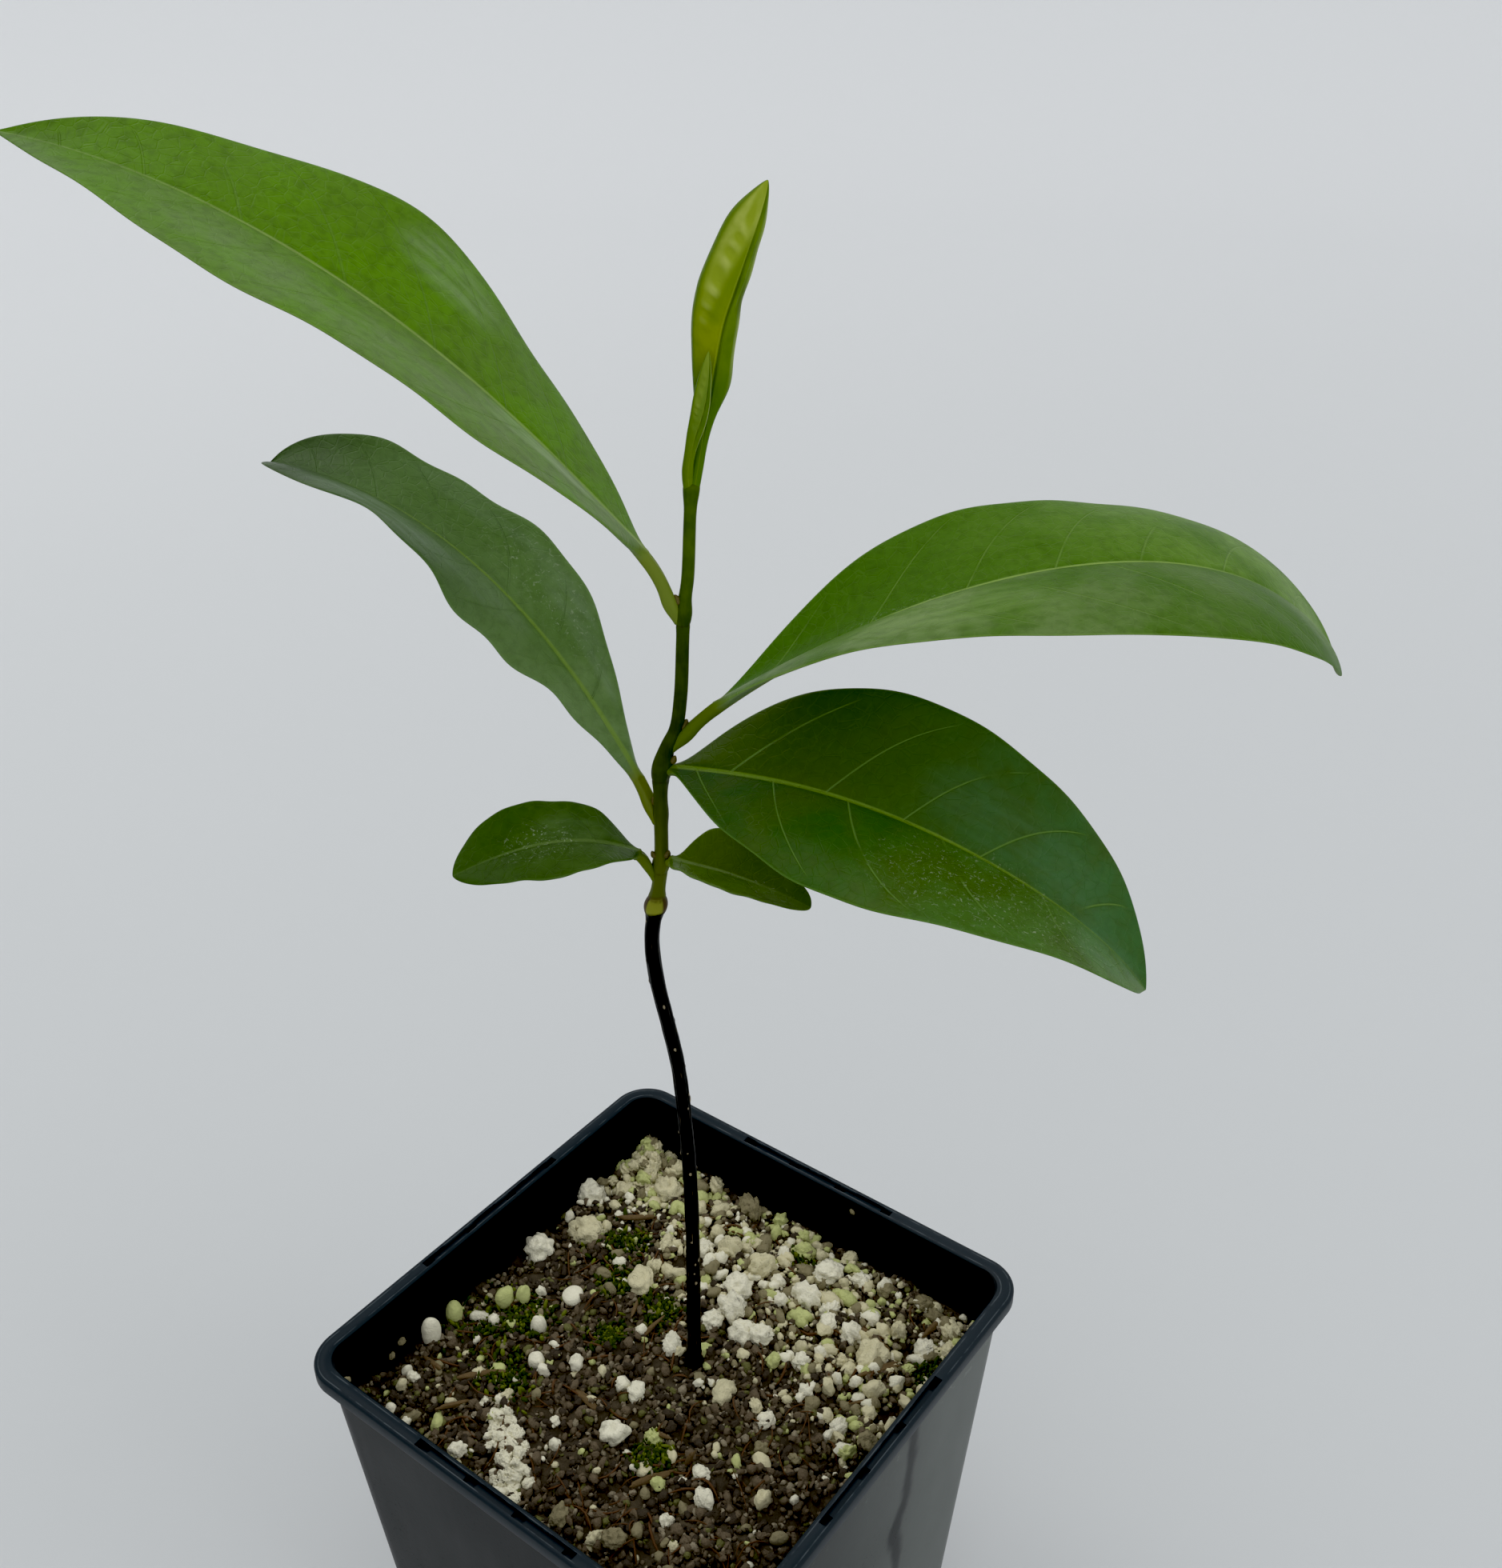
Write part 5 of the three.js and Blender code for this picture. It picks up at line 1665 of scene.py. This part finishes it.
# %% Young leaf values
# Per leaf: points of its line (sideways, forward, height), the stalk's radius, the greatest half
# width and the depth as a share of it, where along the line the blade starts and is widest, its
# grid, and the waves of its outline (right 1 or left -1, middle and reach along, height).
YOUNG_LEAVES = {
    "young_leaf_rolled": dict(
        line=[[3.75, 0, 250.2], [4.3, -0.1, 252.9], [5.0, -0.2, 256.7], [5.8, -0.4, 262],
              [6.6, -0.3, 268], [7.4, 0, 273.5], [9.6, 0, 280.3], [13.4, 0, 288]],
        stalk=0.78, half_width=3.0, depth=0.72, start=0.12, widest=0.62, rows=260, around=120,
        waves=[(1, 0.88, 0.06, 0.22), (1, 0.65, 0.06, -0.42), (1, 0.37, 0.08, 0.7),
               (-1, 0.88, 0.08, 0.45)]),
    "young_leaf_inner": dict(
        line=[[3.55, 0, 250.2], [3.3, 0.3, 252.7], [3.4, 0.8, 254.6], [4.1, 1.5, 258.1],
              [5.0, 2, 261.5], [5.6, 2.3, 264.9], [6.3, 2.5, 269.2]],
        stalk=0.72, half_width=1.05, depth=0.6, start=0.2, widest=0.6, rows=140, around=64,
        waves=[(1, 0.5, 0.1, 0.1)]),
}

# %% Young leaf surface
def spindle_share(along, widest):
    """Half width of a rolled leaf: a slow swell from the stalk and a pointed tip."""
    swell = np.sin(0.5 * np.pi * np.clip(along / widest, 0, 1)) ** 1.15
    taper = np.clip((1 - along) / (1 - widest), 0, 1)
    return np.where(along < widest, swell, taper ** 0.72 * (1.9 - 0.9 * taper) ** 0.5)


def seam_place(along):
    """Where the seam runs across the front: a little right of the middle at the foot, and well
    to the right at the tip."""
    return 0.2 + 0.46 * (0.5 + 0.5 * np.tanh((along - 0.62) * 5))


def roll_relief(along, side, front, scale):
    """Relief on a rolled leaf: a seam with a lip left of it and a ridge right of it, and bumps
    on the left where side veins press through. The back has a seam of its own."""
    facing = np.clip(front * 3 + 0.6, 0, 1)
    middle = seam_place(along)
    seam = -0.32 * bell(side - middle, 0.05)
    lip = 0.13 * bell(side - middle + 0.1, 0.07)
    ridge = 0.1 * bell(side - middle - 0.16, 0.05)
    vein_count = 24 * along - 6 * along ** 2 + 0.5 * side
    beads = np.sin(2 * np.pi * vein_count + 1.3 * np.sin(31 * along))
    bumps = 0.1 * beads * bell(side + 1.05 - 1.1 * along, 0.3) * np.clip(along * 5 - 2, 0, 1)
    back_seam = -0.28 * bell(side + 0.25, 0.07) * np.clip(-front * 3, 0, 1)
    return scale * ((seam + lip + ridge + bumps) * facing + back_seam)


def outline_waves(young, along, side):
    """How far the outline steps in and out: a bell along the leaf for each wave, on its side of
    the leaf only."""
    waves = 0
    for flank, middle, reach, height in young["waves"]:
        waves = waves + height * bell(along - middle, reach) * np.clip(flank * side, 0, 1) ** 2
    return waves


def young_rings(young):
    """Rings across the curve: an ellipse whose size follows the spindle, with the relief laid
    on. The marks are the shares along, to the side and to the front; the relief, and how far
    past the seam a point lies."""
    line = smooth_line(stand_points(young["line"]), young["rows"])
    along = np.linspace(0, 1, young["rows"])[:, None]
    tangent = np.gradient(line, axis=0)
    tangent[0] = [0, 0, 1]
    tangent /= np.linalg.norm(tangent, axis=1)[:, None]
    front = LEAN_FRONT - (tangent @ LEAN_FRONT)[:, None] * tangent
    front /= np.linalg.norm(front, axis=1)[:, None]
    side = np.cross(tangent, front)
    place = np.clip((along - young["start"]) / (1 - young["start"]), 0, 0.9995)
    spindle = young["half_width"] * spindle_share(place, young["widest"])
    stalk = young["stalk"] * (1 - place)
    half_width = np.hypot(spindle, stalk)
    half_depth = np.hypot(spindle * young["depth"], stalk)
    angle = np.linspace(0, 2 * np.pi, young["around"], endpoint=False)[None, :]
    cos, sin = np.cos(angle), np.sin(angle)
    swelling = np.clip(spindle / young["half_width"], 0, 1)
    relief = roll_relief(along, cos, sin, np.sqrt(young["half_width"] / 2.8)) * swelling
    relief = relief + outline_waves(young, along, cos)
    rings = (line[:, None] + ((half_width + relief * abs(cos)) * cos)[..., None] * side[:, None]
             + ((half_depth + relief) * sin)[..., None] * front[:, None])
    nothing = 0 * relief
    past_seam = cos - seam_place(along)
    return rings, {"roll_place": np.stack([along + nothing, cos + nothing, sin + nothing], -1),
                   "roll_relief": np.stack([relief, past_seam, nothing], -1)}


# %% Young leaf finish
def young_finish(name, look):
    """Lime left of the seam and grass green right of it, with a painted sheen band on the left
    whose bumps get painted highlights, a pale lip, a pale right margin, a darker left margin, and
    painted shade in the sunken seams."""
    paint = Finish(name)
    along, side, _ = paint.split(paint.mark("roll_place"))
    relief, past_seam, _ = paint.split(paint.mark("roll_relief"))
    place = paint.place()
    clouds = paint.noise(place, 260, 3)
    fine = paint.noise(place, 1500, 3, 0.6)
    lime = paint.mix(paint.step(clouds, 0.35, 0.65), *look["lime"])
    lime = paint.mix(paint.step(along, 0.52, 0.72), lime, look["above"])
    grass = paint.mix(paint.step(clouds, 0.35, 0.65), *look["grass"])
    tone = paint.mix(paint.step(past_seam, -0.12, 0.02), lime, grass)
    past_band = paint.step(side - along * 2.8 + 1.95, -0.25, 0.2)
    # Painted sheen: a pale band on the left of the front, towards the tip
    painted_sheen_band = paint.step(side, -0.92, -0.62) * (1 - past_band) * (1 - paint.step(past_seam, -0.15, 0))
    painted_sheen_band = painted_sheen_band * paint.step(along, 0.5, 0.68) * look["sheen"]
    tone = paint.mix(painted_sheen_band * (clouds * 0.8 + 0.32), tone, colour(162, 178, 52))
    # Painted highlights on the raised bumps within the sheen band
    bumps = paint.step(relief, -0.03, 0.1) * paint.step(clouds, 0.25, 0.6)
    tone = paint.mix(painted_sheen_band * bumps * 0.5, tone, colour(206, 214, 122))
    left_margin = 1 - paint.step(side, -0.96, -0.8)
    tone = paint.mix(left_margin * 0.8, tone, colour(90, 118, 8))
    tone = paint.mix(1 - paint.step(along, 0.3, 0.5), tone, look["stalk"])
    before_seam = past_seam * -1
    lip = paint.step(before_seam, 0.02, 0.08) * (1 - paint.step(before_seam, 0.1, 0.16))
    tone = paint.mix(lip * 0.3, tone, colour(150, 164, 60))
    right_margin = paint.step(side, 0.84, 0.96) * paint.step(along, 0.3, 0.5)
    tone = paint.mix(right_margin * 0.6, tone, colour(160, 176, 92))
    # Painted shade where the relief sinks, in the seams
    tone = paint.mix(paint.step(relief * -1, 0.08, 0.3) * 0.6, tone, colour(66, 88, 0))
    return paint.skin(tone, clouds * 0.2 + 0.28, 0.14, paint.bump(fine + clouds, 0.0001, 0.6))


# Per leaf: lime and grass greens, the lime above the middle, the stalk, and the share of the
# painted sheen band
YOUNG_LOOKS = {
    "young_leaf_rolled": dict(lime=(colour(120, 140, 6), colour(140, 154, 14)),
                              grass=(colour(90, 118, 4), colour(106, 132, 12)),
                              above=colour(116, 138, 10), stalk=colour(84, 116, 8), sheen=0.9),
    "young_leaf_inner": dict(lime=(colour(104, 130, 22), colour(116, 142, 44)),
                             grass=(colour(84, 114, 6), colour(96, 124, 12)),
                             above=colour(112, 138, 40), stalk=colour(106, 130, 22), sheen=0.3),
}

for name, young in YOUNG_LEAVES.items():
    spindle = loft(name + "_surface", *young_rings(young))
    settle(spindle, young_finish(name, YOUNG_LOOKS[name]), "young_leaf", name)

# %% [markdown]
# ## Buds
# A tiny pointed bud sits in the angle between each leaf and the stem. Each is a drop shape: a
# ball stretched upwards and narrowed to its tip, leaning out from the stem.

# %% Buds
# Height on the stem, heading and length of each bud
BUDS = [(236.2, 230, 1.3), (217.6, 40, 1.5), (212.6, 12, 1.1), (205.2, 185, 1.1),
        (197, 236, 1.0), (197.2, 3, 1.2)]
# The way a bud points above level, in degrees
BUD_RISE = 66
# Half height and half width as shares of the length, and how much the bud narrows to its tip
BUD_TALL, BUD_WIDE, BUD_NARROWING = 0.62, 0.42, 0.45
BUD_GRID = (14, 16)
BUD_SURFACE = (0.55, 1800, 0.0001)


def bud_points():
    """A ball narrowed towards its upper pole, leaning outward from the stem."""
    directions = ball_directions(BUD_GRID)
    shapes = []
    for level, heading, length in BUDS:
        outward = direction(heading, 0)
        side = direction(heading + 90, 0)
        axis = direction(heading, BUD_RISE)
        narrow = BUD_WIDE * length * (1 - BUD_NARROWING * directions[:, 2])
        centre = stem_centre(level) + outward * (stem_radius(level) + 0.1 * length)
        shapes.append(centre + directions[:, 2:] * axis * length * BUD_TALL
                      + (narrow * directions[:, 0])[:, None] * side
                      + (narrow * directions[:, 1])[:, None] * np.cross(axis, side))
    return np.array(shapes)


settle(lump_piece("buds", bud_points(), BUD_GRID),
       plain_finish("bud_scale", colour(96, 88, 42), BUD_SURFACE), "stem")
